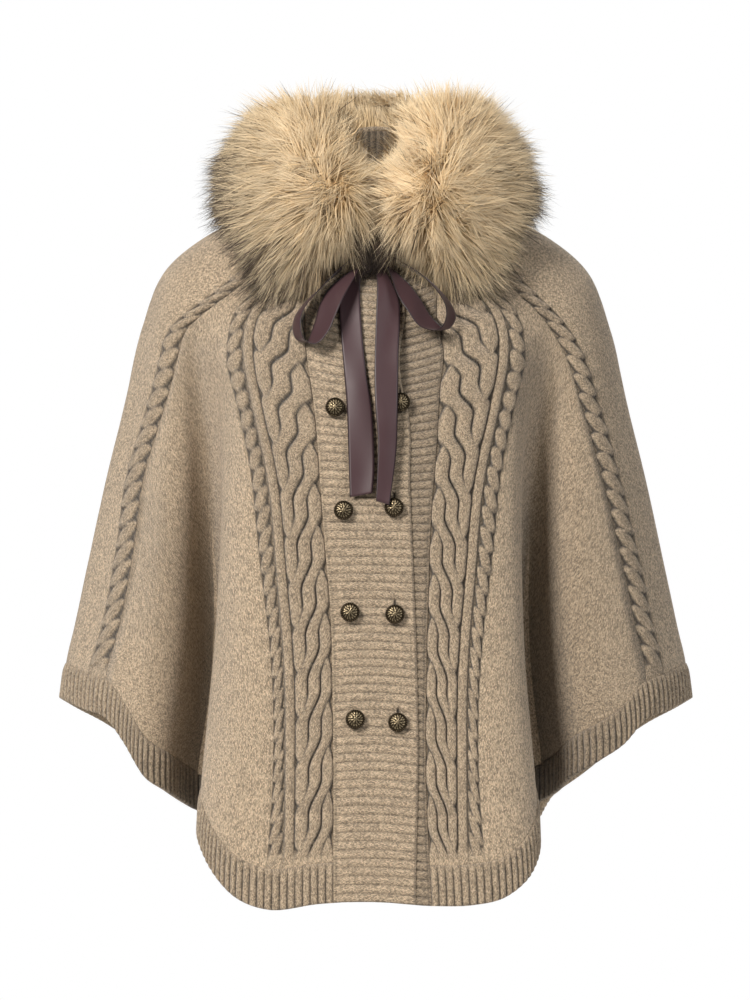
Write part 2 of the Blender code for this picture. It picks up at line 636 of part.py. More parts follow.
def stand_collar(collection):
    """Make the stand collar: plain outside, where the fur covers it, and ribbed inside."""
    foot, top = np.array(COLLAR_FOOT[1:]), np.array(COLLAR_TOP[1:])
    inwards = np.array([-COLLAR_WALL, COLLAR_WALL, -COLLAR_WALL, 0, 0, 0])
    rib = np.array([-1.0, 1.0, -1.0, 0, 0, 0]) * RIB_HEIGHT * 0.7
    rows = np.array([0.0, 1.0])
    around = 2 * math.pi * (COLLAR_FOOT.half_width - COLLAR_WALL)
    ribs = round(around / COLLAR_RIB_PITCH)
    ribbed, plain = [], []
    for k, turn in enumerate(np.linspace(COLLAR_OPEN, 360 - COLLAR_OPEN, 2 * ribs + 1)):
        sizes = [foot + inwards + rib * (k % 2), top + inwards + rib * (k % 2)]
        ribbed.append(Column(turn, rows, np.array([ring_point(turn, *size) for size in sizes])))
    for turn in collar_stations():
        plain.append(Column(turn, rows, np.array([ring_point(turn, *foot), ring_point(turn, *top)])))
    return closed_wall("collar_stand", ribbed, plain, KNIT, collection)


def fur_section(turn):
    """Return one closed section of the fur: underside, bulge, top and the side on the collar."""
    away = abs(turn)
    covers, reach, reach_z, top_radius, top_z = FUR_AT(away)
    angle = math.radians(turn)
    outward = np.array([math.sin(angle), -math.cos(angle), 0.0])
    up = np.array([0.0, 0.0, 1.0])

    under_shares = np.array([covers * part for part in (0, 0.22, 0.5, 0.78, 1)])
    over_bands = FUR_OVER_BANDS * (1 - smooth_step((away - 40) / 14))
    over_cables = (FUR_OVER_CABLES - FUR_OVER_KNIT) * smooth_step((under_shares - 0.06) / 0.07)
    over_cables = over_cables * (1 - smooth_step((away - 66) / 12))
    under = lifted_point(turn, under_shares, np.maximum(FUR_OVER_KNIT + over_cables, over_bands))

    edge = under[-1]
    edge_radius = math.hypot(edge[0], edge[1])
    edge_way = np.array([edge[0], edge[1], 0.0]) / edge_radius
    bulge = []
    for quarter in (30, 60):
        rise = math.radians(quarter)
        way = edge_way * math.cos(rise) + outward * math.sin(rise)
        way /= np.linalg.norm(way)
        radius = edge_radius + (reach - edge_radius) * math.sin(rise)
        bulge.append(way * radius + up * (reach_z + (edge[2] - reach_z) * math.cos(rise)))
    for quarter in (0, 28, 58, 90):
        rise = math.radians(quarter)
        radius = top_radius + (reach - top_radius) * math.cos(rise)
        bulge.append(outward * radius + up * (reach_z + (top_z - reach_z) * math.sin(rise)))

    room = np.array([FUR_CLEARANCE, -FUR_CLEARANCE, FUR_CLEARANCE, 0, 0, 0])
    collar_top = ring_point(turn, *(np.array(COLLAR_TOP[1:]) + room))
    collar_foot = ring_point(turn, *(np.array(COLLAR_FOOT[1:]) + room))
    inside = [collar_top + up * 2.0, collar_top * 0.5 + collar_foot * 0.5]
    if collar_top[2] + 4.0 > top_z:
        inside[0] = collar_top + up * (top_z - 4.0 - collar_top[2])
    return [*under, *bulge, *inside]


FUR_AT = curve_through([place.turn for place in FUR], [place[2:] for place in FUR])


def fur_collar(collection):
    """Make the fur as one closed body from one side of the centre front round to the other."""
    ends = FUR[0].turn
    turns = [ends, *collar_stations(), 360 - ends]
    sections = [fur_section(turn if turn <= 180 else turn - 360) for turn in turns]
    count = len(sections[0])
    points = [point for section in sections for point in section]
    faces = []
    for k in range(len(sections) - 1):
        for i in range(count):
            a, b = k * count + i, k * count + (i + 1) % count
            faces.append((a, b, b + count))
            faces.append((a, b + count, a + count))
    last = (len(sections) - 1) * count
    faces.append(tuple(range(count)))
    faces.append(tuple(range(last, last + count)))
    return add_object("collar_fur", points, faces, FUR_FINISH, collection)


def point_off_cloth(x, z, lift):
    """Return the place in front of the cloth at x and z, off it by a lift."""
    turn, share = front_place(x, z)
    place = cloth_point(turn, share)
    return np.array([x, place[1] - lift, z])


def ribbon_strip(name, places, steps, collection):
    """Make one flat strip of ribbon between two edges that run through the given places."""
    knots = range(len(places))
    near = [point_off_cloth(p.x, p.z, p.lift) for p in places]
    far = [point_off_cloth(p.other_x, p.other_z, p.other_lift) for p in places]
    edges_at = curve_through(knots, np.concatenate([near, far], axis=1))
    along = np.linspace(0, len(places) - 1, steps + 1)
    edges = edges_at(along)
    first, second = edges[:, :3], edges[:, 3:]
    middle = (first + second) / 2
    run = np.gradient(middle, axis=0)
    face_way = np.cross(run, second - first)
    face_way /= np.linalg.norm(face_way, axis=1, keepdims=True)
    half = face_way * RIBBON_WALL / 2
    front = [Column(0, along, first + half), Column(1, along, second + half)]
    back = [Column(0, along, first - half), Column(1, along, second - half)]
    return closed_wall(name, front, back, SATIN, collection)


def ribbon_knot(collection):
    """Make the knot of the bow as a block with rounded edges."""
    x, z, lift = KNOT_PLACE
    bpy.ops.mesh.primitive_cube_add(size=1, location=point_off_cloth(x, z, lift) * MM)
    knot = bpy.context.object
    knot.name = "ribbon_knot"
    knot.data.transform(block_size(KNOT_SIZE))
    rounding = knot.modifiers.new("rounded edges", "BEVEL")
    rounding.width = KNOT_BEVEL * MM
    rounding.segments = 2
    knot.data.materials.append(finish_material(SATIN))
    move_to(knot, collection)
    return knot


def block_size(sizes):
    """Return the matrix that brings a unit block to a size in millimetres."""
    return Matrix.Diagonal([*(size * MM for size in sizes), 1.0])


def move_to(thing, collection):
    """Put an object in one collection alone."""
    for old in list(thing.users_collection):
        old.objects.unlink(thing)
    collection.objects.link(thing)


def button_frame(x, z):
    """Return the place on the plain cloth and the rotation that turns +Z out of it."""
    turn, share = front_place(x, z)
    out = Vector(cloth_normal(turn, share))
    return Vector(cloth_point(turn, share)), out.to_track_quat("Z", "Y"), out


def shank_button(name, x, z, tilt, foot, collection):
    """Make a domed button on its shank: a turned profile whose foot stands at a lift."""
    face = BAND_STACK + RIB_HEIGHT + 1.6
    profile = (
        (0.0, face + BUTTON_RIM + BUTTON_DOME), (6.6, face + BUTTON_RIM + BUTTON_DOME * 0.72),
        (BUTTON_RADIUS, face + BUTTON_RIM), (BUTTON_RADIUS * 0.94, face), (SHANK_RADIUS, face),
        (SHANK_RADIUS, foot), (0.0, foot),
    )
    mesh = bpy.data.meshes.new(name)
    points = [(radius * MM, 0.0, height * MM) for radius, height in profile]
    mesh.from_pydata(points, [(k, k + 1) for k in range(len(points) - 1)], [])
    button = bpy.data.objects.new(name, mesh)
    collection.objects.link(button)
    turned = button.modifiers.new("turned", "SCREW")
    turned.steps = turned.render_steps = 10
    turned.use_merge_vertices = True
    turned.merge_threshold = 0.00001
    turned.use_smooth_shade = True
    place, rotation, _ = button_frame(x, z)
    button.rotation_mode = "QUATERNION"
    button.rotation_quaternion = rotation @ Quaternion((0, 0, 1), math.radians(tilt))
    button.location = place * MM
    mesh.materials.append(finish_material(BRASS))
    return button


def cut_buttonholes(band, cutters):
    """Cut the four upright buttonholes, each of which reaches up from its button's shank."""
    width, height = BUTTONHOLE
    for row in BUTTONS:
        place, rotation, out = button_frame(row.x_left, row.z_left + height / 2 - 2.5)
        bpy.ops.mesh.primitive_cube_add(size=1, location=(place + out * BAND_STACK) * MM)
        cutter = bpy.context.object
        cutter.name = f"cut_buttonhole_{row.row}"
        cutter.data.transform(block_size((width, height, 14.0)))
        cutter.rotation_mode = "QUATERNION"
        cutter.rotation_quaternion = upright(out)
        cutter.hide_render = True
        cutter.display_type = "WIRE"
        move_to(cutter, cutters)
        cut = band.modifiers.new(f"buttonhole {row.row}", "BOOLEAN")
        cut.operation = "DIFFERENCE"
        cut.object = cutter


def upright(out):
    """Return the rotation whose +Z points out of the cloth and whose +X stays level."""
    across = Vector((0, 0, 1)).cross(out).normalized()
    return Matrix((across, out.cross(across), out)).transposed().to_quaternion()


# ---------------------------------------------------------------- the whole cape

def clear_scene():
    """Remove the objects that the file opened with."""
    for thing in list(bpy.data.objects):
        bpy.data.objects.remove(thing, do_unlink=True)


def new_collection(name):
    """Make a collection in the scene."""
    collection = bpy.data.collections.new(name)
    bpy.context.scene.collection.children.link(collection)
    return collection


def side_seams(side):
    """Return the seams and cable lines of one half: side is 1 for the wearer's left."""
    is_left = side > 0
    raglan = RAGLAN_MIDDLE_LEFT if is_left else RAGLAN_MIDDLE_RIGHT
    band = BAND_SEAM_LEFT if is_left else BAND_SEAM_RIGHT
    back = curve_through([share for share, _ in BACK_RAGLAN], [side * turn for _, turn in BACK_RAGLAN])
    return {
        "band": seam(band, side, 36 if is_left else 40, (0, 36)),
        "plait": seam(PLAIT_EDGE, side, 44, (0, 45)),
        "rib": seam(PLAIT_EDGE, side, 47, (0, 52), ROUND_RIB_WIDTH),
        "rope": seam(ROPE_EDGE, side, 50, (0, 60)),
        "raglan in": seam(raglan, side, 54, (28, 90), -RAGLAN_ROPE_HALF),
        "raglan out": seam(raglan, side, 62, (28, 90), RAGLAN_ROPE_HALF),
        "back raglan": back,
    }


def front_fields(seams):
    """Return the fields of a front, from the button band out to the raglan line."""
    def narrow_rope(across, down):
        return rope_relief(across, down, ROPE_PERIOD)

    return [
        Field(seams["band"], seams["plait"], PLAIT_MARKS, plait_relief, CABLE_HEIGHT,
              PLAIT_PERIOD / 4, 5),
        Field(seams["plait"], seams["rib"], [0, 0.3, 0.7, 1], round_rib_relief,
              ROUND_RIB_HEIGHT, PLAIT_PERIOD / 2, 3),
        Field(seams["rib"], seams["rope"], even_marks(3), narrow_rope, CABLE_HEIGHT,
              ROPE_PERIOD / 3, 3),
        plain_field(seams["rope"], seams["raglan in"], even_marks(13)),
    ]


def side_fields(seams):
    """Return the fields of an arm piece, from the front raglan line round to the back one."""
    def raglan_rope(across, down):
        return rope_relief(across, down, RAGLAN_ROPE_PERIOD)

    return [
        Field(seams["raglan in"], seams["raglan out"], even_marks(3), raglan_rope, CABLE_HEIGHT,
              RAGLAN_ROPE_PERIOD / 3, 3),
        plain_field(seams["raglan out"], seams["back raglan"], even_marks(6)),
    ]


def main():
    """Build the cape jacket."""
    clear_scene()
    cape = new_collection("cape_jacket")
    cutters = new_collection("cutters")
    seams = {"left": side_seams(1), "right": side_seams(-1)}
    left_back, right_back = seams["left"]["back raglan"], seams["right"]["back raglan"]

    def far_back(shares):
        return 360.0 + right_back(shares)

    panels = {"back": [plain_field(left_back, far_back, BACK_MARKS)]}
    for name, lines in seams.items():
        panels[f"front_{name}"] = front_fields(lines)
        panels[f"side_{name}"] = side_fields(lines)
    for name, fields in panels.items():
        panel(name, fields, KNIT, cape)
        hem_band(f"hem_{name}", fields, KNIT, cape)

    upper_seam, under_seam = seams["right"]["band"], seams["left"]["band"]
    upper_edge = seam(UPPER_BAND_EDGE, 1, 6, (0, 36), shares_from=0.05)
    reveal = seam(UPPER_BAND_EDGE, 1, 7, (0, 36), BAND_REVEAL, 0.05)
    hidden_edge = seam(BAND_SEAM_RIGHT, -1, 28, (0, 36), -BAND_OVERLAP)
    upper = button_band("band_upper", [
        BandColumn(upper_seam, upper_edge, mark, BAND_STACK * min(1, k), 0 < k)
        for k, mark in enumerate(BAND_MARKS)
    ], KNIT, cape)
    button_band("band_under", [
        *[BandColumn(hidden_edge, reveal, mark, 0.0, False) for mark in even_marks(4)],
        *[BandColumn(reveal, under_seam, mark, 0.0, mark < 1) for mark in (0.15, 0.6, 1)],
    ], KNIT, cape)

    stand_collar(cape)
    fur_collar(cape)
    ribbon_knot(cape)
    ribbon_strip("ribbon_tail_right", RIBBON_TAIL_RIGHT, 11, cape)
    ribbon_strip("ribbon_tail_left", RIBBON_TAIL_LEFT, 11, cape)
    ribbon_strip("ribbon_loop_right", RIBBON_LOOP_RIGHT, 22, cape)
    ribbon_strip("ribbon_loop_left", RIBBON_LOOP_LEFT, 20, cape)

    cut_buttonholes(upper, cutters)
    ribs = band_ribs(upper_edge)
    for row in BUTTONS:
        _, share = front_place(row.x_right, row.z_right)
        foot = BAND_STACK + float(np.interp(share, *ribs)) + SHANK_SEAT
        shank_button(f"button_{row.row}_right", row.x_right, row.z_right, row.tilt_right, foot, cape)
        shank_button(f"button_{row.row}_left", row.x_left, row.z_left, row.tilt_left,
                     SHANK_SEAT_UNDER, cape)


main()
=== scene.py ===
"""Dresses the knitted cape jacket: cabled knit, long fur, satin ribbon, antique brass buttons and a studio.

Sizes are in millimetres and are turned to metres where a mesh is made. +X is the wearer's left, -Y is
the front and +Z is up. A place on the cloth is a turn (degrees round the body: 0 at the centre front,
90 at the wearer's left side, 180 at the centre back) and a share (0 at the neck seam, 1 at the hem).
"""
import logging
import math
from dataclasses import dataclass, field
from enum import Enum
from typing import Callable, Optional, Sequence

import bpy
import numpy as np
from bpy.types import Material, Node, NodeSocket, NodeTree, Object
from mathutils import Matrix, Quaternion, Vector
from mathutils.kdtree import KDTree


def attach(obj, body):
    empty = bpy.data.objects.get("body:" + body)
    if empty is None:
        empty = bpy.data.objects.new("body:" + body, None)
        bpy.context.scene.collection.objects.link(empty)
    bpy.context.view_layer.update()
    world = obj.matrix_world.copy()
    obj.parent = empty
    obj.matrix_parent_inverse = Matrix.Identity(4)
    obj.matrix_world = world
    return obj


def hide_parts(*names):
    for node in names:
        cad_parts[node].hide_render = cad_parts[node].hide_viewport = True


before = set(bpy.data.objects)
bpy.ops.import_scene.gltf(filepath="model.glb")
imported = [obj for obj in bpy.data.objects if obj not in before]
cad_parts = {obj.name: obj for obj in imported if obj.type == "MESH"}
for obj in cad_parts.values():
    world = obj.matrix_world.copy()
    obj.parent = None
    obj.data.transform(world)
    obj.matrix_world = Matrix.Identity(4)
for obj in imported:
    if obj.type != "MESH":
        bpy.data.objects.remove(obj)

log = logging.getLogger("cape_jacket")
MM = 0.001
INNER_PAINTED_SHADE = 0.1               # painted shade: the inner face of the knit, inside the cape, is painted a little darker
BANDS_PER_UNIT = 3.18          # what the wave texture shows at scale 1
MATH = "ShaderNodeMath"        # the node that works out one sum
Array = np.ndarray
Curve = Callable[[Array], Array]


# ---------------------------------------------------------------- small helpers

def linear(hex_colour: str) -> tuple[float, float, float, float]:
    """Turn an sRGB hex colour to linear light.

    Args:
        hex_colour: six hex digits, with or without a leading hash.

    Returns:
        Red, green, blue and an alpha of one.
    """
    digits = hex_colour.lstrip("#")
    values = [int(digits[k:k + 2], 16) / 255 for k in (0, 2, 4)]
    light = [v / 12.92 if v <= 0.04045 else ((v + 0.055) / 1.055) ** 2.4 for v in values]
    return (light[0], light[1], light[2], 1.0)


def add_node(tree: NodeTree, kind: str, inputs: Optional[dict] = None,
             **settings: object) -> Node:
    """Add a node with its settings, its constants and its links.

    Args:
        tree: the node tree that gets the node.
        kind: the node's type name.
        inputs: for each input's name or number, a constant or the output socket that feeds it.
        settings: attributes of the node.

    Returns:
        The new node.
    """
    node = tree.nodes.new(kind)
    for name, value in settings.items():
        setattr(node, name, value)
    for key, value in (inputs or {}).items():
        if isinstance(value, NodeSocket):
            tree.links.new(value, node.inputs[key])
        else:
            node.inputs[key].default_value = value
    return node


def start_material(name: str, looks: dict) -> tuple[Material, NodeTree, Node]:
    """Start a material.

    Args:
        name: the material's name.
        looks: for each of the shader's sockets that is the same all over the surface, its value.

    Returns:
        The material, its node tree and its shader.
    """
    made = bpy.data.materials.new(name)
    made.use_nodes = True
    shader = made.node_tree.nodes["Principled BSDF"]
    for socket, value in looks.items():
        shader.inputs[socket].default_value = value
    return made, made.node_tree, shader


def smooth_step(value: Array) -> Array:
    """Go gently from 0 to 1 as the value does.

    Args:
        value: places, of which only those between 0 and 1 count.

    Returns:
        The eased places.
    """
    value = np.clip(value, 0.0, 1.0)
    return value * value * (3 - 2 * value)


def curve_through(knots: Sequence[float], values: Sequence) -> Curve:
    """Make a smooth curve through values at knots.

    Args:
        knots: increasing places.
        values: one number or one row of numbers for each knot.

    Returns:
        A function from places to values.
    """
    places = np.array(knots, dtype=float)
    heights = np.array(values, dtype=float)
    slopes = np.gradient(heights, places, axis=0)

    def at(place: Array) -> Array:
        """Work out the curve.

        Args:
            place: where on the curve.

        Returns:
            The value or row of values there.
        """
        place = np.clip(np.asarray(place, dtype=float), places[0], places[-1])
        i = np.clip(np.searchsorted(places, place, side="right") - 1, 0, len(places) - 2)
        width = places[i + 1] - places[i]
        s = (place - places[i]) / width
        if heights.ndim == 2:
            s, width = s[..., None], width[..., None]
        start = (1 + 2 * s) * (1 - s) ** 2 * heights[i] + s * (1 - s) ** 2 * width * slopes[i]
        end = s * s * (3 - 2 * s) * heights[i + 1] + s * s * (s - 1) * width * slopes[i + 1]
        return start + end

    return at


def unit(vectors: Array) -> Array:
    """Scale vectors to length one."""
    return vectors / np.maximum(np.linalg.norm(vectors, axis=-1, keepdims=True), 1e-9)


def every(step: int, count: int) -> Array:
    """Return each number below the count that the step lands on, and the last one."""
    return np.unique([*range(0, count, step), count - 1])


def lengths_along(points: Array) -> Array:
    """Return how far along a line of points each one lies."""
    return np.concatenate([[0], np.cumsum(np.linalg.norm(np.diff(points, axis=0), axis=1))])


@dataclass
class MeshParts:
    """Points and faces of one mesh while it is put together, in millimetres."""

    points: list = field(default_factory=list)
    uvs: list = field(default_factory=list)
    tints: list = field(default_factory=list)
    loops: list = field(default_factory=list)
    sizes: list = field(default_factory=list)
    count: int = 0

    def add_points(self, points: Array, uvs: Optional[Array] = None, tints: Optional[Array] = None) -> Array:
        """Add points and return their numbers, shaped as the points are.

        Args:
            points: places, in a row or a grid.
            uvs: each one's place on the flat cloth, in millimetres.
            tints: how dark each one is painted (painted shade on the knit, the woven edge on the ribbon), or
                how high it stands on the brass.

        Returns:
            The points' numbers, shaped as the points are.
        """
        flat = points.reshape(-1, 3)
        self.points.append(flat)
        self.uvs.append(np.zeros((len(flat), 2)) if uvs is None else uvs.reshape(-1, 2))
        self.tints.append(np.zeros(len(flat)) if tints is None else np.broadcast_to(
            tints, points.shape[:-1]).reshape(-1))
        numbers = np.arange(self.count, self.count + len(flat)).reshape(points.shape[:-1])
        self.count += len(flat)
        return numbers

    def add_faces(self, faces: Array) -> None:
        """Add faces that all have the same number of corners, one face in each row.

        Args:
            faces: point numbers, one face in each row.
        """
        self.loops.append(np.asarray(faces).reshape(-1))
        self.sizes.append(np.full(len(faces), np.asarray(faces).shape[1]))

    def add_grid(self, ids: Array, flip: bool = False) -> None:
        """Add the four-cornered faces between the points of a grid.

        Args:
            ids: a grid of point numbers.
            flip: whether the faces look the other way.
        """
        quads = np.stack([ids[:-1, :-1], ids[1:, :-1], ids[1:, 1:], ids[:-1, 1:]], axis=-1).reshape(-1, 4)
        self.add_faces(quads[:, ::-1] if flip else quads)

    def add_rim(self, fine: Array, coarse: Array, step_marks: Array, flip: bool = False) -> None:
        """Close the gap between a fine edge and a coarse edge, one face for each coarse step.

        Args:
            fine: point numbers along the fine edge.
            coarse: point numbers along the coarse edge.
            step_marks: which points of the fine edge lie at the coarse ones.
            flip: whether the faces look the other way.
        """
        for k in range(len(coarse) - 1):
            face = [coarse[k], coarse[k + 1], *fine[step_marks[k]:step_marks[k + 1] + 1][::-1]]
            self.add_faces(np.array([face if flip else face[::-1]]))

    def add_sheet(self, front: Array, back: Array) -> None:
        """Add the faces of a closed sheet between two grids of the same size.

        Args:
            front: the point numbers of the face that shows.
            back: the point numbers of the face behind it.
        """
        self.add_grid(front)
        self.add_grid(back, True)
        self.add_grid(np.stack([back[0], front[0]]))
        self.add_grid(np.stack([front[-1], back[-1]]))
        self.add_grid(np.stack([back[:, 0], front[:, 0]], axis=1))
        self.add_grid(np.stack([front[:, -1], back[:, -1]], axis=1))

    def build(self, name: str) -> Object:
        """Make the object.

        Args:
            name: the piece's name.

        Returns:
            The object, linked to the scene.
        """
        points = np.concatenate(self.points)
        loops = np.concatenate(self.loops).astype(np.int32)
        sizes = np.concatenate(self.sizes)
        starts = np.concatenate([[0], np.cumsum(sizes)[:-1]]).astype(np.int32)
        mesh = bpy.data.meshes.new(name)
        mesh.vertices.add(len(points))
        mesh.vertices.foreach_set("co", (points * MM).astype(np.float32).ravel())
        mesh.loops.add(len(loops))
        mesh.loops.foreach_set("vertex_index", loops)
        mesh.polygons.add(len(starts))
        mesh.polygons.foreach_set("loop_start", starts)
        mesh.update(calc_edges=True)
        layer = mesh.uv_layers.new(name="cloth_mm")
        layer.uv.foreach_set("vector", np.concatenate(self.uvs)[loops].astype(np.float32).ravel())
        tint = mesh.attributes.new("tint", "FLOAT", "POINT")
        tint.data.foreach_set("value", np.concatenate(self.tints).astype(np.float32))
        mesh.shade_smooth()
        piece = bpy.data.objects.new(name, mesh)
        bpy.context.scene.collection.objects.link(piece)
        return piece


def settle(piece: Object, material: Material, slot: str, *nodes: str) -> Object:
    """Give a piece its material, hide the CAD nodes that it stands for, and let it ride.

    Args:
        piece: the finished object.
        material: its material.
        slot: not used.
        nodes: the CAD nodes that it replaces.

    Returns:
        The piece.
    """
    piece.data.materials.append(material)
    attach(piece, "root")
    if nodes:
        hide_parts(*nodes)
    log.info("%s: %d faces", piece.name, len(piece.data.polygons))
    return piece


# ---------------------------------------------------------------- finishes

@dataclass(frozen=True)
class WoolKnit:
    """Heather lambswool in stocking stitch: matt, with a soft bloom of loose fibre and mixed yarns."""

    name: str = "heather lambswool, machine knitted and washed"
    light: str = "#DAC8AE"
    middle: str = "#C5AF93"
    dark: str = "#947C60"
    wale_mm: float = 2.1       # width of one stitch
    course_mm: float = 1.45    # height of one stitch
    leg_slant: float = -0.8    # courses that a stitch's leg drops from its edge to its middle
    fleck_mm: float = 0.9      # size of one fleck of the mixed yarn, as coarse as the picture can show
    fuzz_mm: float = 1.2       # size of one wisp of loose fibre, coarser than a real one
    bump_mm: float = 0.55      # how far a stitch stands out

    def material(self) -> Material:
        """Make the material, whose pattern follows the cloth's own measure in millimetres.

        Returns:
            A matt wool: each stitch is painted lighter in its high middle and darker at its edges, as painted
            shade; dark and light yarns lie side by side in it; and painted shade from the mesh darkens the
            cable grooves, the folds, the neck and the inner faces, so that the eye reads thick soft knit.
        """
        made, tree, shader = start_material(self.name, {
            "Roughness": 0.95, "Specular IOR Level": 0.15, "Sheen Weight": 0.25, "Sheen Roughness": 0.6})
        leg, course, cell = self.stitch_places(tree)
        # a stitch is high in the middle of each leg and along its yarn
        yarn = add_node(tree, MATH, {0: course}, operation="FRACT").outputs[0]
        yarn = add_node(tree, MATH, {0: yarn, 1: math.pi}, operation="MULTIPLY").outputs[0]
        yarn = add_node(tree, MATH, {0: yarn}, operation="SINE").outputs[0]
        yarn = add_node(tree, MATH, {0: yarn, 1: 0.7, 2: 0.3}, operation="MULTIPLY_ADD").outputs[0]
        leg = add_node(tree, MATH, {0: leg, 1: 0.75, 2: 0.25}, operation="MULTIPLY_ADD").outputs[0]
        stitch = add_node(tree, MATH, {0: leg, 1: yarn}, operation="MULTIPLY").outputs[0]
        # the mixed yarn: one chance value for each leg, and flecks that run over the stitches
        mixed = add_node(tree, "ShaderNodeTexWhiteNoise", {"Vector": cell}).outputs["Value"]
        body = add_node(tree, "ShaderNodeTexCoord").outputs["Object"]
        fleck = add_node(tree, "ShaderNodeTexNoise", {
            "Vector": body, "Scale": 1 / (self.fleck_mm * MM), "Detail": 3.0, "Roughness": 0.75}).outputs[0]
        ramp = add_node(tree, "ShaderNodeValToRGB", {0: fleck})
        stops = ramp.color_ramp.elements
        stops[0].position, stops[0].color = 0.30, linear(self.dark)
        stops[1].position, stops[1].color = 0.72, linear(self.light)
        stops.new(0.5).color = linear(self.middle)
        # painted shade of each stitch's relief, the mixed yarn's own tone, and the mesh's painted shade
        shade = add_node(tree, MATH, {0: stitch, 1: 0.52, 2: 0.17}, operation="MULTIPLY_ADD").outputs[0]
        shade = add_node(tree, MATH, {0: mixed, 1: 0.92, 2: shade}, operation="MULTIPLY_ADD").outputs[0]
        # the tint attribute holds each knitted piece's painted shade: grooves, folds, seams, the neck, inner
        # faces
        groove = add_node(tree, "ShaderNodeAttribute", attribute_name="tint").outputs["Fac"]
        open_to_light = add_node(tree, MATH, {0: 1.0, 1: groove}, operation="SUBTRACT").outputs[0]
        shade = add_node(tree, MATH, {0: shade, 1: open_to_light}, operation="MULTIPLY").outputs[0]
        colour = add_node(tree, "ShaderNodeVectorMath", {0: ramp.outputs["Color"], 1: shade},
                          operation="MULTIPLY")
        tree.links.new(colour.outputs[0], shader.inputs["Base Color"])
        fuzz = add_node(tree, "ShaderNodeTexNoise", {
            "Vector": body, "Scale": 2 / (self.fuzz_mm * MM), "Detail": 2.0, "Roughness": 0.7}).outputs[0]
        height = add_node(tree, MATH, {0: fuzz, 1: 0.55, 2: stitch}, operation="MULTIPLY_ADD").outputs[0]
        bump = add_node(tree, "ShaderNodeBump", {"Height": height, "Strength": 1.0,
                                                 "Distance": self.bump_mm * MM})
        tree.links.new(bump.outputs[0], shader.inputs["Normal"])
        return made

    def stitch_places(self, tree: NodeTree) -> tuple[NodeSocket, NodeSocket, NodeSocket]:
        """Add the nodes that divide the cloth into stitches.

        Args:
            tree: the material's node tree.

        Returns:
            How near the middle of its leg a place lies, which course it lies on, and its leg's number.
        """
        place = add_node(tree, "ShaderNodeUVMap", uv_map="cloth_mm").outputs["UV"]
        parts = add_node(tree, "ShaderNodeSeparateXYZ", {0: place}).outputs
        wale = add_node(tree, MATH, {0: parts["X"], 1: self.wale_mm}, operation="DIVIDE").outputs[0]
        down = add_node(tree, MATH, {0: parts["Y"], 1: self.course_mm}, operation="DIVIDE").outputs[0]
        across = add_node(tree, MATH, {0: wale}, operation="FRACT").outputs[0]
        aside = add_node(tree, MATH, {0: across, 1: 0.5}, operation="SUBTRACT").outputs[0]
        aside = add_node(tree, MATH, {0: aside}, operation="ABSOLUTE").outputs[0]
        leg = add_node(tree, MATH, {0: aside, 1: 2 * math.pi}, operation="MULTIPLY").outputs[0]
        leg = add_node(tree, MATH, {0: leg}, operation="SINE").outputs[0]
        course = add_node(tree, MATH, {0: aside, 1: 2 * self.leg_slant, 2: down},
                          operation="MULTIPLY_ADD").outputs[0]
        side = add_node(tree, MATH, {0: wale, 1: 2.0}, operation="MULTIPLY").outputs[0]
        column = add_node(tree, MATH, {0: side}, operation="FLOOR").outputs[0]
        row = add_node(tree, MATH, {0: course}, operation="FLOOR").outputs[0]
        cell = add_node(tree, "ShaderNodeCombineXYZ", {0: column, 1: row}).outputs[0]
        return leg, course, cell


@dataclass(frozen=True)
class LongFur:
    """Long acrylic fur pile, combed and steamed: silky hairs, cream to tan, some with dark tips."""

    name: str = "acrylic fur pile, combed and steamed"
    golden: str = "#BC9056"    # near the root
    cream: str = "#DCC094"     # along most of a hair
    pale: str = "#F2E3C6"      # at the tip
    grey: str = "#8A7660"      # the middle of a hair whose tip is dark
    dark: str = "#352A25"
    roughness: float = 0.55

    def material(self) -> Material:
        """Make the material, which takes each hair's colour from the mesh.

        Returns:
            Silky hairs with a soft gloss along each, golden at the root, cream above and some with dark
            tips, so that the eye reads depth and softness.
        """
        made, tree, shader = start_material(self.name, {
            "Roughness": self.roughness, "Specular IOR Level": 0.3, "Sheen Weight": 0.15})
        colour = add_node(tree, "ShaderNodeVertexColor", layer_name="hair")
        tree.links.new(colour.outputs["Color"], shader.inputs["Base Color"])
        return made


@dataclass(frozen=True)
class UnderFur:
    """Dense short wool under the long hairs: soft, matt and a little darker."""

    name: str = "acrylic fur ground, knitted"
    light: str = "#C6A97C"
    dark: str = "#927650"
    tuft_mm: float = 3.0       # size of one small tuft, which is half a step of the noise
    bump_mm: float = 2.0

    def material(self) -> Material:
        """Make the mottled, tufted material.

        Returns:
            A matt mottled wool that only shows between the hairs, where it keeps the fur's depths warm.
        """
        made, tree, shader = start_material(self.name, {"Roughness": 0.9, "Sheen Weight": 0.2})
        body = add_node(tree, "ShaderNodeTexCoord").outputs["Object"]
        tufts = add_node(tree, "ShaderNodeTexNoise", {
            "Vector": body, "Scale": 0.5 / (self.tuft_mm * MM), "Detail": 4.0, "Roughness": 0.7}).outputs[0]
        ramp = add_node(tree, "ShaderNodeValToRGB", {0: tufts})
        stops = ramp.color_ramp.elements
        stops[0].position, stops[0].color = 0.35, linear(self.dark)
        stops[1].position, stops[1].color = 0.65, linear(self.light)
        tree.links.new(ramp.outputs["Color"], shader.inputs["Base Color"])
        bump = add_node(tree, "ShaderNodeBump", {"Height": tufts, "Strength": 1.0,
                                                 "Distance": self.bump_mm * MM})
        tree.links.new(bump.outputs[0], shader.inputs["Normal"])
        return made


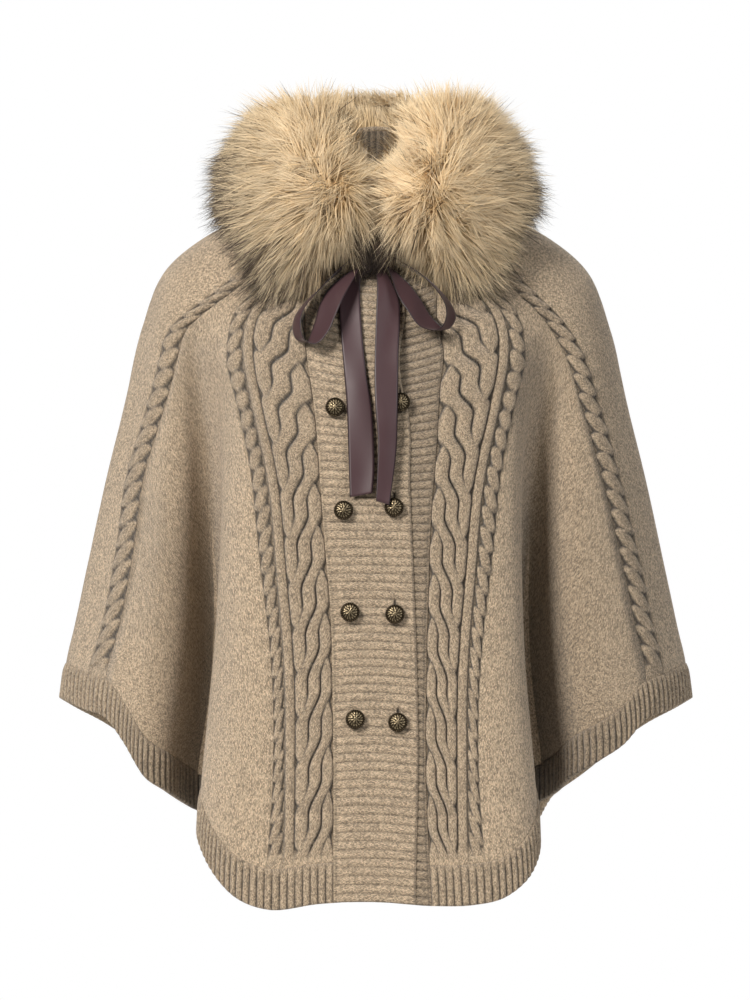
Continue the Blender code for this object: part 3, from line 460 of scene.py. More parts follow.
@dataclass(frozen=True)
class SatinWeave:
    """Polyester satin ribbon, woven with long floats: a broad soft gloss and fine woven edges."""

    name: str = "polyester satin, woven"
    colour: str = "#493437"
    edge: str = "#2C2225"
    thread_mm: float = 0.5     # the real threads are a quarter of this, too fine to show
    ripple_mm: float = 25.0    # the gloss varies about once in the ribbon's width

    def material(self) -> Material:
        """Make the material, whose threads run across the ribbon.

        Returns:
            A plum satin with a broad soft gloss, fine threads across it and a darker woven edge.
        """
        made, tree, shader = start_material(self.name, {
            "Specular IOR Level": 0.4, "Sheen Weight": 0.12, "Sheen Roughness": 0.35})
        place = add_node(tree, "ShaderNodeUVMap", uv_map="cloth_mm").outputs["UV"]
        threads = add_node(tree, "ShaderNodeTexWave", {
            "Vector": place, "Scale": 1 / self.thread_mm / BANDS_PER_UNIT, "Distortion": 0.4},
                           bands_direction="Y")
        body = add_node(tree, "ShaderNodeTexCoord").outputs["Object"]
        cloud = add_node(tree, "ShaderNodeTexNoise", {
            "Vector": body, "Scale": 1 / (self.ripple_mm * MM), "Detail": 3.0}).outputs[0]
        selvedge = add_node(tree, "ShaderNodeAttribute", attribute_name="tint").outputs["Fac"]
        mix = add_node(tree, "ShaderNodeMix", {"Factor": selvedge, 6: linear(self.colour),
                                               7: linear(self.edge)}, data_type="RGBA")
        tree.links.new(mix.outputs[2], shader.inputs["Base Color"])
        rough = add_node(tree, MATH, {0: cloud, 1: 0.2, 2: 0.32}, operation="MULTIPLY_ADD")
        tree.links.new(rough.outputs[0], shader.inputs["Roughness"])
        bump = add_node(tree, "ShaderNodeBump", {"Height": threads.outputs["Fac"], "Strength": 0.3,
                                                 "Distance": 0.05 * MM})
        tree.links.new(bump.outputs[0], shader.inputs["Normal"])
        return made


@dataclass(frozen=True)
class AntiqueBrass:
    """Cast brass with a dark patina, rubbed bright on the high places of the ornament."""

    name: str = "antique brass, cast and rubbed"
    patina: str = "#332B20"
    rubbed: str = "#A49375"
    pit_mm: float = 1.1        # casting pits and worn spots, coarser than the real ones so that they show

    def material(self) -> Material:
        """Make the material, which reads how high the ornament stands from the mesh.

        Returns:
            A dark brown metal that shines golden where the ornament is rubbed, so that its relief shows.
        """
        made, tree, shader = start_material(self.name, {"Metallic": 0.9})
        high = add_node(tree, "ShaderNodeAttribute", attribute_name="tint").outputs["Fac"]
        body = add_node(tree, "ShaderNodeTexCoord").outputs["Object"]
        spots = add_node(tree, "ShaderNodeTexNoise", {
            "Vector": body, "Scale": 1 / (self.pit_mm * MM), "Detail": 3.0}).outputs[0]
        wear = add_node(tree, MATH, {0: high, 1: spots}, operation="MULTIPLY").outputs[0]
        ramp = add_node(tree, "ShaderNodeValToRGB", {0: wear})
        stops = ramp.color_ramp.elements
        stops[0].position, stops[0].color = 0.18, linear(self.patina)
        stops[1].position, stops[1].color = 0.5, linear(self.rubbed)
        tree.links.new(ramp.outputs["Color"], shader.inputs["Base Color"])
        rough = add_node(tree, MATH, {0: wear, 1: -0.35, 2: 0.5}, operation="MULTIPLY_ADD")
        tree.links.new(rough.outputs[0], shader.inputs["Roughness"])
        return made


@dataclass(frozen=True)
class StudioPaper:
    """Seamless background paper, rolled out flat: smooth, matt and near white."""

    name: str = "seamless paper, rolled"
    colour: str = "#F4F3F1"

    def material(self) -> Material:
        """Make the plain material.

        Returns:
            A matt near-white that takes a soft shadow and shows no pattern.
        """
        return start_material(self.name, {"Base Color": linear(self.colour), "Roughness": 0.9})[0]


# ---------------------------------------------------------------- the form of the cape

@dataclass(frozen=True)
class Ring:
    """One ring of the body, and how much of the hem's folding it already has."""

    share: float
    half_width: float
    front_y: float
    back_y: float
    z_front: float
    z_side: float
    z_back: float
    fold: float


@dataclass(frozen=True)
class HemPlace:
    """One place of the folded hem line: the left half at x_left and the right half at -x_right."""

    turn: float
    y: float
    x_left: float
    z_left: float
    x_right: float
    z_right: float


RINGS = (
    Ring(0.00, 75, -66, 62, -52, 6, 16, 0.00),                # neck seam
    Ring(0.08, 126, -98, 88, -100, -15, -28, 0.00),           # yoke
    Ring(0.16, 178, -122, 112, -150, -39, -80, 0.00),         # shoulder
    Ring(0.24, 222, -138, 128, -205, -76, -140, 0.07),        # shoulder turn
    Ring(0.33, 246, -147, 137, -268, -135, -210, 0.24),       # upper arm
    Ring(0.44, 264, -155, 144, -345, -214, -290, 0.47),       # chest
    Ring(0.56, 283, -163, 150, -430, -292, -380, 0.69),       # waist
    Ring(0.70, 301, -174, 160, -525, -375, -480, 0.87),       # elbow
    Ring(0.84, 317, -186, 172, -618, -450, -585, 0.94),       # forearm
    Ring(0.94, 326, -194, 181, -690, -490, -668, 0.96),       # rib top
    Ring(1.00, 331, -198, 185, -730, -526, -708, 1.00),       # hem
)
HEM_LINE = (
    HemPlace(0, -198, 0, -730, 0, -730),        # centre front
    HemPlace(12, -200, 60, -734, 60, -732),     # front
    HemPlace(20, -198, 101, -733, 110, -738),
    HemPlace(27, -191, 134, -725, 147, -724),   # front corner
    HemPlace(33, -173, 158, -705, 171, -696),
    HemPlace(38, -148, 168, -680, 183, -668),   # crest
    HemPlace(43, -105, 166, -652, 182, -652),   # crest turned in
    HemPlace(48, -54, 157, -636, 173, -645),    # valley wall
    HemPlace(53, -33, 168, -634, 184, -644),    # valley
    HemPlace(58, -50, 186, -624, 200, -634),
    HemPlace(63, -90, 205, -604, 218, -620),    # arm
    HemPlace(68, -106, 232, -588, 242, -603),
    HemPlace(73, -98, 258, -571, 262, -570),    # arm ridge
    HemPlace(78, -82, 280, -547, 281, -545),
    HemPlace(84, -48, 308, -536, 306, -536),    # side
    HemPlace(90, 0, 331, -526, 331, -526),      # side corner
    HemPlace(98, 54, 316, -538, 316, -538),
    HemPlace(106, 92, 286, -556, 286, -556),    # back ridge
    HemPlace(113, 100, 256, -578, 256, -578),
    HemPlace(121, 88, 222, -606, 222, -606),    # back valley
    HemPlace(129, 86, 188, -632, 188, -632),
    HemPlace(137, 116, 172, -660, 172, -660),   # back crest
    HemPlace(145, 152, 158, -690, 158, -690),
    HemPlace(154, 178, 126, -712, 126, -712),   # back
    HemPlace(166, 188, 70, -724, 70, -724),
    HemPlace(180, 187, 0, -728, 0, -728),       # centre back
)

FOLD_TURN = 53.0               # where the deep fold between the front and each arm lies
FOLD_WIDTHS = (6.0, 16.0, 11.0)    # degrees that its shade takes: on a front, the left arm, the right arm
DEEPEST_SHADE = 0.68
HALVINGS = 36                  # halvings of a range of turns, which find a turn almost exactly


def ring_point(turn: Array, sizes: Sequence[Array]) -> Array:
    """Return the places at the given turns on an oval ring that dips at the front and the back.

    Args:
        turn: degrees round the body.
        sizes: half the ring's width, its reach at the front and the back, and its height at the centre
            front, the sides and the centre back.

    Returns:
        The places.
    """
    half_width, front_y, back_y, z_front, z_side, z_back = sizes
    angle = np.radians(turn)
    ahead = np.cos(angle)
    in_front = ahead > 0
    y = np.where(in_front, front_y * ahead, -back_y * ahead)
    z = z_side + np.where(in_front, z_front - z_side, z_back - z_side) * ahead ** 2
    return np.stack(np.broadcast_arrays(half_width * np.sin(angle), y, z), axis=-1)


class CapeForm:
    """The outer face of the plain knit, as the cape hangs when it is worn."""

    def __init__(self, rings: Sequence[Ring], hem: Sequence[HemPlace]) -> None:
        """Prepare the curves through the rings and round the hem.

        Args:
            rings: the rings from the neck seam to the hem.
            hem: the folded hem line, from the centre front to the centre back.
        """
        self.ring_at = curve_through([r.share for r in rings], [
            (r.half_width, r.front_y, r.back_y, r.z_front, r.z_side, r.z_back, r.fold) for r in rings])
        last = rings[-1]
        self.plain_hem = (last.half_width, last.front_y, last.back_y, last.z_front, last.z_side, last.z_back)
        left = [(p.turn, (p.x_left, p.y, p.z_left)) for p in hem]
        right = [(-p.turn, (-p.x_right, p.y, p.z_right)) for p in hem[1:-1]]
        around = sorted(left + right)
        before = [(turn - 360, place) for turn, place in around[-3:]]
        after = [(turn + 360, place) for turn, place in around[:3]]
        knots, places = zip(*(before + around + after))
        self.hem_at = curve_through(knots, places)

    def point(self, turn: Array, share: Array) -> Array:
        """Return the places of the outer face at turns and shares.

        Args:
            turn: degrees round the body.
            share: places from the neck seam to the hem.

        Returns:
            The places.
        """
        turn, share = np.broadcast_arrays(np.asarray(turn, dtype=float), np.asarray(share, dtype=float))
        sizes = np.moveaxis(self.ring_at(share), -1, 0)
        folded = self.hem_at((turn + 180.0) % 360.0 - 180.0) - ring_point(turn, self.plain_hem)
        return ring_point(turn, sizes[:6]) + sizes[6][..., None] * folded

    def normal(self, turn: Array, share: Array) -> Array:
        """Return the directions that point straight out of the cloth.

        Args:
            turn: degrees round the body.
            share: places from the neck seam to the hem.

        Returns:
            The directions, each of length one.
        """
        turn_step, share_step = 0.5, 0.004
        share = np.clip(share, share_step, 1 - share_step)
        round_way = self.point(turn + turn_step, share) - self.point(turn - turn_step, share)
        down_way = self.point(turn, share + share_step) - self.point(turn, share - share_step)
        return unit(np.cross(down_way, round_way))

    def fold_shade(self, turn: Array, share: Array) -> Array:
        """Return how much less light reaches the bottom of the deep folds between the front and the arms.

        Args:
            turn: degrees round the body.
            share: places from the neck seam to the hem.

        Returns:
            Nothing on the open cloth, and up to the deepest shade in the folds.
        """
        turn, share = np.broadcast_arrays(np.asarray(turn, dtype=float), share)
        away = abs((turn + 180.0) % 360.0 - 180.0)
        fold = np.maximum(self.ring_at(share)[..., 6], 0)
        front, left_arm, right_arm = FOLD_WIDTHS
        width = np.where(away < FOLD_TURN, front, np.where(turn > 0, left_arm, right_arm))
        return DEEPEST_SHADE * fold ** 1.5 * np.exp(-((away - FOLD_TURN) / width) ** 2)

    def lifted(self, turn: Array, share: Array, lift: Array) -> Array:
        """Return places that stand off the outer face by a lift.

        Args:
            turn: degrees round the body.
            share: places from the neck seam to the hem.
            lift: how far each place stands off.

        Returns:
            The places.
        """
        turn, share, lift = np.broadcast_arrays(np.asarray(turn, dtype=float), share, lift)
        return self.point(turn, share) + self.normal(turn, share) * lift[..., None]

    def seam(self, line: Sequence[tuple[float, float]], side: int, neck_turn: float,
             turn_range: tuple[float, float], shift: float = 0.0, shares_from: float = 0.13) -> Curve:
        """Find a line that is drawn in the front view, on one side of the cape.

        Args:
            line: depths below the origin, each with a distance from the centre line.
            side: 1 for the wearer's left, -1 for the right.
            neck_turn: where the line ends at the neck, under the fur.
            turn_range: the turns between which the line is looked for.
            shift: added to each distance from the centre line.
            shares_from: the share below which the drawn line counts.

        Returns:
            The turn at each share.
        """
        x_at = curve_through([depth for depth, _ in line], [x + shift for _, x in line])
        shares = np.linspace(shares_from, 1.0, 40)
        low = np.full(shares.shape, float(turn_range[0]))
        high = np.full(shares.shape, float(turn_range[1]))
        for _ in range(HALVINGS):
            middle = (low + high) / 2
            place = self.point(side * middle, shares)
            beyond = side * place[:, 0] > x_at(-place[:, 2])
            low, high = np.where(beyond, low, middle), np.where(beyond, middle, high)
        return curve_through([0.0, *shares], [side * neck_turn, *(side * (low + high) / 2)])

    def front_place(self, x: float, z: float) -> tuple[float, float]:
        """Return the turn and share of the place on the fronts that is seen at x and z.

        Args:
            x: distance from the centre line.
            z: height.

        Returns:
            The turn and the share.
        """
        side = 1.0 if x >= 0 else -1.0
        shares = np.linspace(0.0, 1.0, 101)
        low, high = np.zeros(shares.shape), np.full(shares.shape, 60.0)     # the fronts end before 60 degrees
        for _ in range(HALVINGS):
            middle = (low + high) / 2
            beyond = side * self.point(side * middle, shares)[:, 0] > abs(x)
            low, high = np.where(beyond, low, middle), np.where(beyond, middle, high)
        turns = side * (low + high) / 2
        share = float(np.interp(-z, -self.point(turns, shares)[:, 2], shares))
        return float(np.interp(share, shares, turns)), share


# Lines drawn on the fronts: depth below the origin and distance from the centre line
BAND_SEAM_LEFT = ((140, 63), (153, 68), (205, 65.5), (265, 62.4), (325, 57.5), (416, 54), (495, 52),
                  (606, 51.5), (730, 57))
BAND_SEAM_RIGHT = ((115, 73.5), (153, 72.8), (225, 63.4), (305, 57.2), (355, 53.5), (434, 47),
                   (525, 44.7), (730, 43.7))
UPPER_BAND_EDGE = ((70, 11.4), (115, 31), (137, 29), (165, 24.5), (200, 27), (225, 33), (305, 35.4),
                   (408, 39.5), (495, 42.6), (556, 43.7), (730, 40.6))
PLAIT_EDGE = ((70, 74), (95, 97), (115, 116), (153, 128), (172, 127), (213, 119.5), (296, 102),
              (395, 92.5), (486, 85), (606, 83.5), (730, 85.5))
ROPE_EDGE = ((70, 95), (95, 122), (115, 143), (153, 155), (172, 156), (213, 146), (296, 129), (346, 124),
             (396, 118.5), (440, 113), (486, 108.5), (606, 106.5), (671, 111), (730, 117))
RAGLAN_LEFT = ((60, 112), (75, 130), (92, 148), (105, 161), (118, 175), (135, 190), (160, 205), (185, 215),
               (217, 224), (241, 232), (272, 240), (305, 249), (361, 262), (401, 271), (446, 280),
               (488, 290), (530, 295))
RAGLAN_RIGHT = ((60, 112), (75, 130), (92, 149), (105, 166), (118, 184), (140, 208), (165, 216), (197, 224),
                (240, 237), (296, 253), (356, 261), (406, 269), (451, 278), (500, 292), (530, 295))
BACK_RAGLAN = ((0.0, 122.0), (0.16, 130.0), (0.33, 121.0), (0.7, 107.0), (1.0, 101.0))


class Side(Enum):
    """The two halves of the cape, as the wearer has them."""

    LEFT = 1
    RIGHT = -1


@dataclass
class Seams:
    """The seams and cable lines of one half of the cape."""

    form: CapeForm
    side: Side
    round_rib_mm: float = 11.0
    raglan_half_mm: float = 10.0

    def __post_init__(self) -> None:
        """Solve each line for its turns."""
        sign, left = self.side.value, self.side is Side.LEFT
        raglan = RAGLAN_LEFT if left else RAGLAN_RIGHT
        seam = self.form.seam
        self.band = seam(BAND_SEAM_LEFT if left else BAND_SEAM_RIGHT, sign, 36 if left else 40, (0, 36))
        self.plait = seam(PLAIT_EDGE, sign, 44, (0, 45))
        self.rib = seam(PLAIT_EDGE, sign, 47, (0, 52), self.round_rib_mm)
        self.rope = seam(ROPE_EDGE, sign, 50, (0, 60))
        self.raglan_in = seam(raglan, sign, 54, (28, 90), -self.raglan_half_mm)
        self.raglan_out = seam(raglan, sign, 62, (28, 90), self.raglan_half_mm)
        self.back = curve_through([s for s, _ in BACK_RAGLAN], [sign * turn for _, turn in BACK_RAGLAN])


# ---------------------------------------------------------------- knitted relief

@dataclass(frozen=True)
class Cable:
    """Strands in lanes: each period every strand steps out by a lane over the one that dives back."""

    lanes: int
    period: float
    height: float              # how far a strand stands out of the plain knit
    fill: float = 0.47         # a strand's half width as a share of its lane
    fullness: float = 2.3      # 2 makes a round strand, more makes a flatter one with steep sides
    straight: float = 0.22     # share of a period that a strand runs straight before it crosses
    ahead: float = 0.62        # periods that a new strand shows before its own begins
    dives: float = 0.80        # share of its last period at which a strand's round end lies
    beneath: float = 2.6       # how far a returning strand lies lower
    ground: float = -1.0       # the purl ground between strands

    def relief(self, across: Array, width: Array, down: Array) -> tuple[Array, Array]:
        """Return the lift of the cloth, and how far across its strand each place lies.

        Args:
            across: distance from the field's inner edge.
            width: the field's width at each place.
            down: distance down the cable.

        Returns:
            The lifts, and the distances from the middle of the strand on top.
        """
        lane_width = width / self.lanes
        lift = np.full(np.broadcast(across, down).shape, self.ground)
        from_middle = np.broadcast_to(across, lift.shape).copy()
        last = self.lanes - 1
        end = last + self.dives
        runs = [(down / self.period - strand) % self.lanes for strand in range(self.lanes)]
        for run in [*runs, *(run - self.lanes for run in runs)]:
            step, part = np.floor(np.maximum(run, 0)), np.maximum(run, 0) % 1.0
            crossing = smooth_step((part - self.straight) / (1 - self.straight))
            lane = np.minimum(step + np.where(step < last, crossing, 0), last)
            head = np.clip((run + self.ahead) / 0.5, 0, 1) ** 0.8
            tail = np.sqrt(np.clip(1 - np.clip((run - end + 0.3) / 0.3, 0, 1) ** 2, 0, 1))
            rise = 0.5 * np.sin(np.pi * crossing) * (step < last) - 1.6 * (1 - smooth_step((run + 0.5) / 0.5))
            self.lay_strand(lift, from_middle, across, (lane + 0.5) * lane_width,
                            lane_width * self.fill * head * tail, self.height + rise)
            back = smooth_step((run - last - 0.5) / 0.34)
            hidden = (run > last + 0.5) & (run < last + 0.84)
            self.lay_strand(lift, from_middle, across, (last * (1 - back) + 0.5) * lane_width,
                            lane_width * self.fill * hidden, self.height - self.beneath)
        return lift, from_middle

    def lay_strand(self, lift: Array, from_middle: Array, across: Array, middle: Array, radius: Array,
                   peak: Array) -> None:
        """Lay one strand over what is already there.

        Args:
            lift: the cloth's lifts, which are raised in place.
            from_middle: distances from the middle of the strand on top, set in place.
            across: distance from the field's inner edge.
            middle: where the strand's middle lies.
            radius: the strand's half width, or nothing where it doesn't show.
            peak: how far its back stands out.
        """
        away = abs(across - middle) / np.maximum(radius, 0.01)
        rounded = (1 - np.minimum(away, 1) ** self.fullness) ** (1 / self.fullness)
        slim = np.minimum(radius / 3.0, 1)
        top = np.where(away < 1, (peak - self.ground) * rounded * slim + self.ground, self.ground)
        higher = top > lift
        lift[higher] = top[higher]
        from_middle[higher] = np.broadcast_to(across - middle, lift.shape)[higher]


@dataclass(frozen=True)
class Rope:
    """Two strands twisted one way: each slants out over the whole turn, then slips back beneath."""

    period: float
    height: float
    shown: float = 1.62        # periods that a strand is on top, of the two that its turn takes
    fill: float = 0.60         # a strand's half width as a share of half the rope
    fullness: float = 2.3
    ground: float = -1.0

    def relief(self, across: Array, width: Array, down: Array) -> tuple[Array, Array]:
        """Return the lift of the cloth, and how far across its strand each place lies.

        Args:
            across: distance from the field's inner edge.
            width: the field's width at each place.
            down: distance down the rope.

        Returns:
            The lifts, and the distances from the middle of the strand on top.
        """
        lift = np.full(np.broadcast(across, down).shape, self.ground)
        from_middle = np.broadcast_to(across, lift.shape).copy()
        radius = width / 2 * self.fill
        for strand in range(2):
            run = (down / self.period - strand) % 2.0
            slant = smooth_step(run / self.shown) * 0.7 + np.minimum(run / self.shown, 1) * 0.3
            middle = radius + (width - 2 * radius) * slant
            shown = smooth_step(run / 0.3) * smooth_step((self.shown - run) / 0.22)
            away = abs(across - middle) / radius
            rounded = (1 - np.minimum(away, 1) ** self.fullness) ** (1 / self.fullness)
            peak = self.height * (0.25 + 0.75 * shown) - 0.5 * (1 - slant)
            top = np.where((away < 1) & (run < self.shown), (peak - self.ground) * rounded + self.ground,
                           self.ground)
            higher = top > lift
            lift = np.where(higher, top, lift)
            from_middle = np.where(higher, across - middle, from_middle)
        return lift, from_middle


@dataclass(frozen=True)
class RoundRib:
    """One straight round rib between narrow grooves."""

    height: float = 2.6
    ground: float = -0.7

    def relief(self, across: Array, width: Array, down: Array) -> tuple[Array, Array]:
        """Return the lift and the distance from the rib's middle.

        Args:
            across: distance from the field's inner edge.
            width: the field's width at each place.
            down: distance down the rib.

        Returns:
            The lifts, and the distances from the rib's middle.
        """
        away = (across - width / 2) / (width * 0.45)
        back = np.sqrt(np.maximum(1 - away ** 2, 0)) * (self.height - self.ground) + self.ground
        lift = np.where(abs(away) < 1, back, self.ground)
        return np.broadcast_to(lift, np.broadcast(across, down).shape), across - width / 2


@dataclass(frozen=True)
class Field:
    """A strip of a panel between two seams, with its own relief and spacing of columns."""

    start: Curve
    end: Curve
    columns: int
    cable: Optional[object] = None


@dataclass
class OuterFace:
    """The outer face of a knitted piece: a grid of points with one row for each share."""

    turn: Array
    shares: Array
    lift: Array                # how far each point stands off the plain face
    measure: Array             # each point's place on the flat cloth, in millimetres
    tint: Array                # how dark each point is painted, as painted shade
    row_marks: Array           # the rows that the inner face has too
    column_marks: Array        # the columns that the inner face has too
    stack: Array | float = 0.0     # how far the inner face stands off with it


@dataclass
class KnitPiece:
    """One knitted piece as a closed wall of cloth: fine outside, where it shows, and coarser inside."""

    form: CapeForm
    name: str
    node: str
    flat: tuple[float, float]  # width and length of the flat piece, in metres
    area: Optional[float] = field(default=None, kw_only=True)   # in square metres, if it isn't oblong
    wall: float = field(default=3.0, kw_only=True)

    def face(self) -> OuterFace:
        """Work out the outer face, which each kind of piece does in its own way."""
        raise NotImplementedError

    def build(self, material: Material) -> Object:
        """Make the piece.

        Args:
            material: the knit's material.

        Returns:
            The finished piece.
        """
        face = self.face()
        rows, columns = face.row_marks, face.column_marks
        kept = np.ix_(rows, columns)
        behind = np.broadcast_to(face.stack, face.turn.shape)[kept] - self.wall
        outer = self.form.lifted(face.turn, face.shares[:, None], face.lift)
        inner = self.form.lifted(face.turn[kept], face.shares[rows][:, None], behind)
        parts = MeshParts()
        outer_ids = parts.add_points(outer, face.measure, face.tint)
        # the inner face gets the painted shade of the inside of the cape
        inner_ids = parts.add_points(inner, face.measure[kept], np.full(inner.shape[:2], INNER_PAINTED_SHADE))
        flip = face.turn[0, -1] < face.turn[0, 0]
        parts.add_grid(outer_ids, flip)
        parts.add_grid(inner_ids, not flip)
        parts.add_rim(outer_ids[0], inner_ids[0], columns, flip)
        parts.add_rim(outer_ids[-1], inner_ids[-1], columns, not flip)
        parts.add_rim(outer_ids[:, 0], inner_ids[:, 0], rows, not flip)
        parts.add_rim(outer_ids[:, -1], inner_ids[:, -1], rows, flip)
        piece = settle(parts.build(self.name), material, "knit", self.node)
        return piece


@dataclass
class KnitPanel(KnitPiece):
    """One knitted panel from the neck seam to its ribbed hem."""

    fields: Sequence[Field]
    row_mm: float
    cable_shade: float = 0.16  # how much darker a cable looks than the plain knit
    wide_recess_shade: float = 0.30  # painted shade: how much darker for each millimetre below the cloth around
    fine_recess_shade: float = 0.8   # the same for the cloth close by
    groove_shade: float = 0.85 # the darkest groove
    cables_from: float = 0.13
    fade_mm: float = 16.0      # length over which a cable rises out of the cloth
    bottom: float = 0.943      # tucked just under the top of the ribbed hem
    tucked_from: float = 0.937
    tuck_mm: float = 1.4
    inner_step: int = 4        # rows of the outer face for each of the inner face

    def rows(self) -> Array:
        """Return the shares of the rows of points, evenly spaced down the cloth.

        Returns:
            One share for each row.
        """
        first, last = self.fields[0], self.fields[-1]
        samples = np.linspace(0, self.bottom, 400)
        middle = (first.start(samples) + last.end(samples)) / 2
        lengths = lengths_along(self.form.point(middle, samples))
        count = int(lengths[-1] / self.row_mm)
        return np.interp(np.linspace(0, lengths[-1], count + 1), lengths, samples)

    def face(self) -> OuterFace:
        """Work out the plaits, ribs, ropes and plain knit, field by field.

        Returns:
            The outer face.
        """
        shares = self.rows()
        turns, lifts, measures, tints = [], [], [], []
        measured = 0.0
        for number, part in enumerate(self.fields):
            start, end = part.start(shares), part.end(shares)
            last = number == len(self.fields) - 1
            marks = np.linspace(0, 1, part.columns + 1)[:None if last else -1]
            turn = start[:, None] * (1 - marks) + end[:, None] * marks
            middle = (start + end) / 2
            step = self.form.point(middle + 0.5, shares) - self.form.point(middle - 0.5, shares)
            width = np.linalg.norm(step, axis=1) * abs(end - start)
            across = width[:, None] * marks
            lengths = lengths_along(self.form.point(middle, shares))
            lengths = lengths - np.interp(self.cables_from, shares, lengths)
            down = np.broadcast_to(lengths[:, None], turn.shape)
            lift, from_middle = np.zeros(turn.shape), across + measured
            tint = np.zeros(turn.shape)
            if part.cable is not None:
                lift, from_middle = part.cable.relief(across, width[:, None], down)
                to_hem = down[-1:] - 8 - down
                fade = smooth_step(down / self.fade_mm) * smooth_step(to_hem / self.fade_mm)
                lift = lift * fade
                # painted shade: the cable, and most of all its grooves below the cloth around them, is
                # painted darker
                recess_shade = np.clip(self.evened(lift, 9) - lift, 0, 2) * self.wide_recess_shade
                recess_shade = recess_shade + np.clip(self.evened(lift, 3) - lift, 0, 1) * self.fine_recess_shade
                tint = np.clip(self.cable_shade + recess_shade, 0, self.groove_shade) * fade
            turns.append(turn)
            lifts.append(lift)
            measures.append(np.stack([from_middle, down], axis=-1))
            tints.append(tint)
            measured += float(np.mean(width))
        turn, tint = np.concatenate(turns, axis=1), np.concatenate(tints, axis=1)
        tint = 1 - (1 - tint) * (1 - self.form.fold_shade(turn, shares[:, None]))
        tucked = smooth_step((shares[:, None] - self.tucked_from) / (self.bottom - self.tucked_from))
        lift = np.concatenate(lifts, axis=1) - tucked * self.tuck_mm
        return OuterFace(turn, shares, lift, np.concatenate(measures, axis=1), tint,
                         every(self.inner_step, len(shares)), every(self.inner_step // 2, turn.shape[1]))

    def evened(self, lift: Array, reach: int) -> Array:
        """Return the lifts, each evened out with those around it.

        Args:
            lift: a grid of lifts.
            reach: how many rows and columns each mean takes in.

        Returns:
            The means, in a grid of the same size.
        """
        half = reach // 2
        wide = np.pad(lift, half, mode="edge")
        rows, columns = lift.shape
        down = sum(wide[k:k + rows] for k in range(2 * half + 1))
        return sum(down[:, k:k + columns] for k in range(2 * half + 1)) / (2 * half + 1) ** 2


@dataclass
class HemRib(KnitPiece):
    """The ribbed hem of one panel: upright round ribs that end in a soft cast-off edge."""

    start: Curve
    end: Curve
    pitch: float = 8.0
    height: float = 2.6
    top: float = 0.938
    measured_at: float = 0.97  # the share at which the hem's length is measured
    per_rib: int = 7           # columns of points for each rib
    shade: float = 0.12        # how much darker than the open cloth a rib looks, and a groove still more
    groove_shade: float = 0.78

    def face(self) -> OuterFace:
        """Work out the upright ribs and the edge.

        Returns:
            The outer face.
        """
        samples = np.linspace(0, 1, 500)
        turns = self.start(self.measured_at) * (1 - samples) + self.end(self.measured_at) * samples
        lengths = lengths_along(self.form.point(turns, self.measured_at))
        ribs = max(3, round(lengths[-1] / self.pitch))
        across = np.linspace(0, lengths[-1], ribs * self.per_rib + 1)
        marks = np.interp(across, lengths, samples)
        # row by row: its share, how far the ribs stand out there, and how the cast-off edge draws in
        shares = np.array([self.top, 0.944, 0.951, 0.96, 0.97, 0.98, 0.99, 0.996, 0.999, 1.0, 1.0])
        fade = np.array([0.25, 0.6, 0.9, 1, 1, 1, 1, 1, 0.9, 0.55, -0.2])
        edge = np.array([0.0] * 8 + [-0.2, -0.7, -1.5])
        rib = abs(np.sin(np.pi * across / self.pitch * (ribs * self.pitch / lengths[-1]))) ** 0.55
        turn = self.start(shares)[:, None] * (1 - marks) + self.end(shares)[:, None] * marks
        lift = rib * self.height * fade[:, None] + edge[:, None]
        outer = self.form.lifted(turn, shares[:, None], lift)
        down = np.linalg.norm(outer[:, :1] - outer[:1, :1], axis=-1) * np.ones_like(turn)
        measure = np.stack([np.broadcast_to(across, turn.shape), down], axis=-1)
        tint = self.shade + (1 - rib) ** 1.3 * self.groove_shade * np.clip(fade, 0, 1)[:, None]
        tint = 1 - (1 - tint) * (1 - self.form.fold_shade(turn, shares[:, None]))
        row_marks = np.array([0, 3, 6, len(shares) - 1])
        return OuterFace(turn, shares, lift, measure, tint, row_marks, every(self.per_rib, len(marks)))


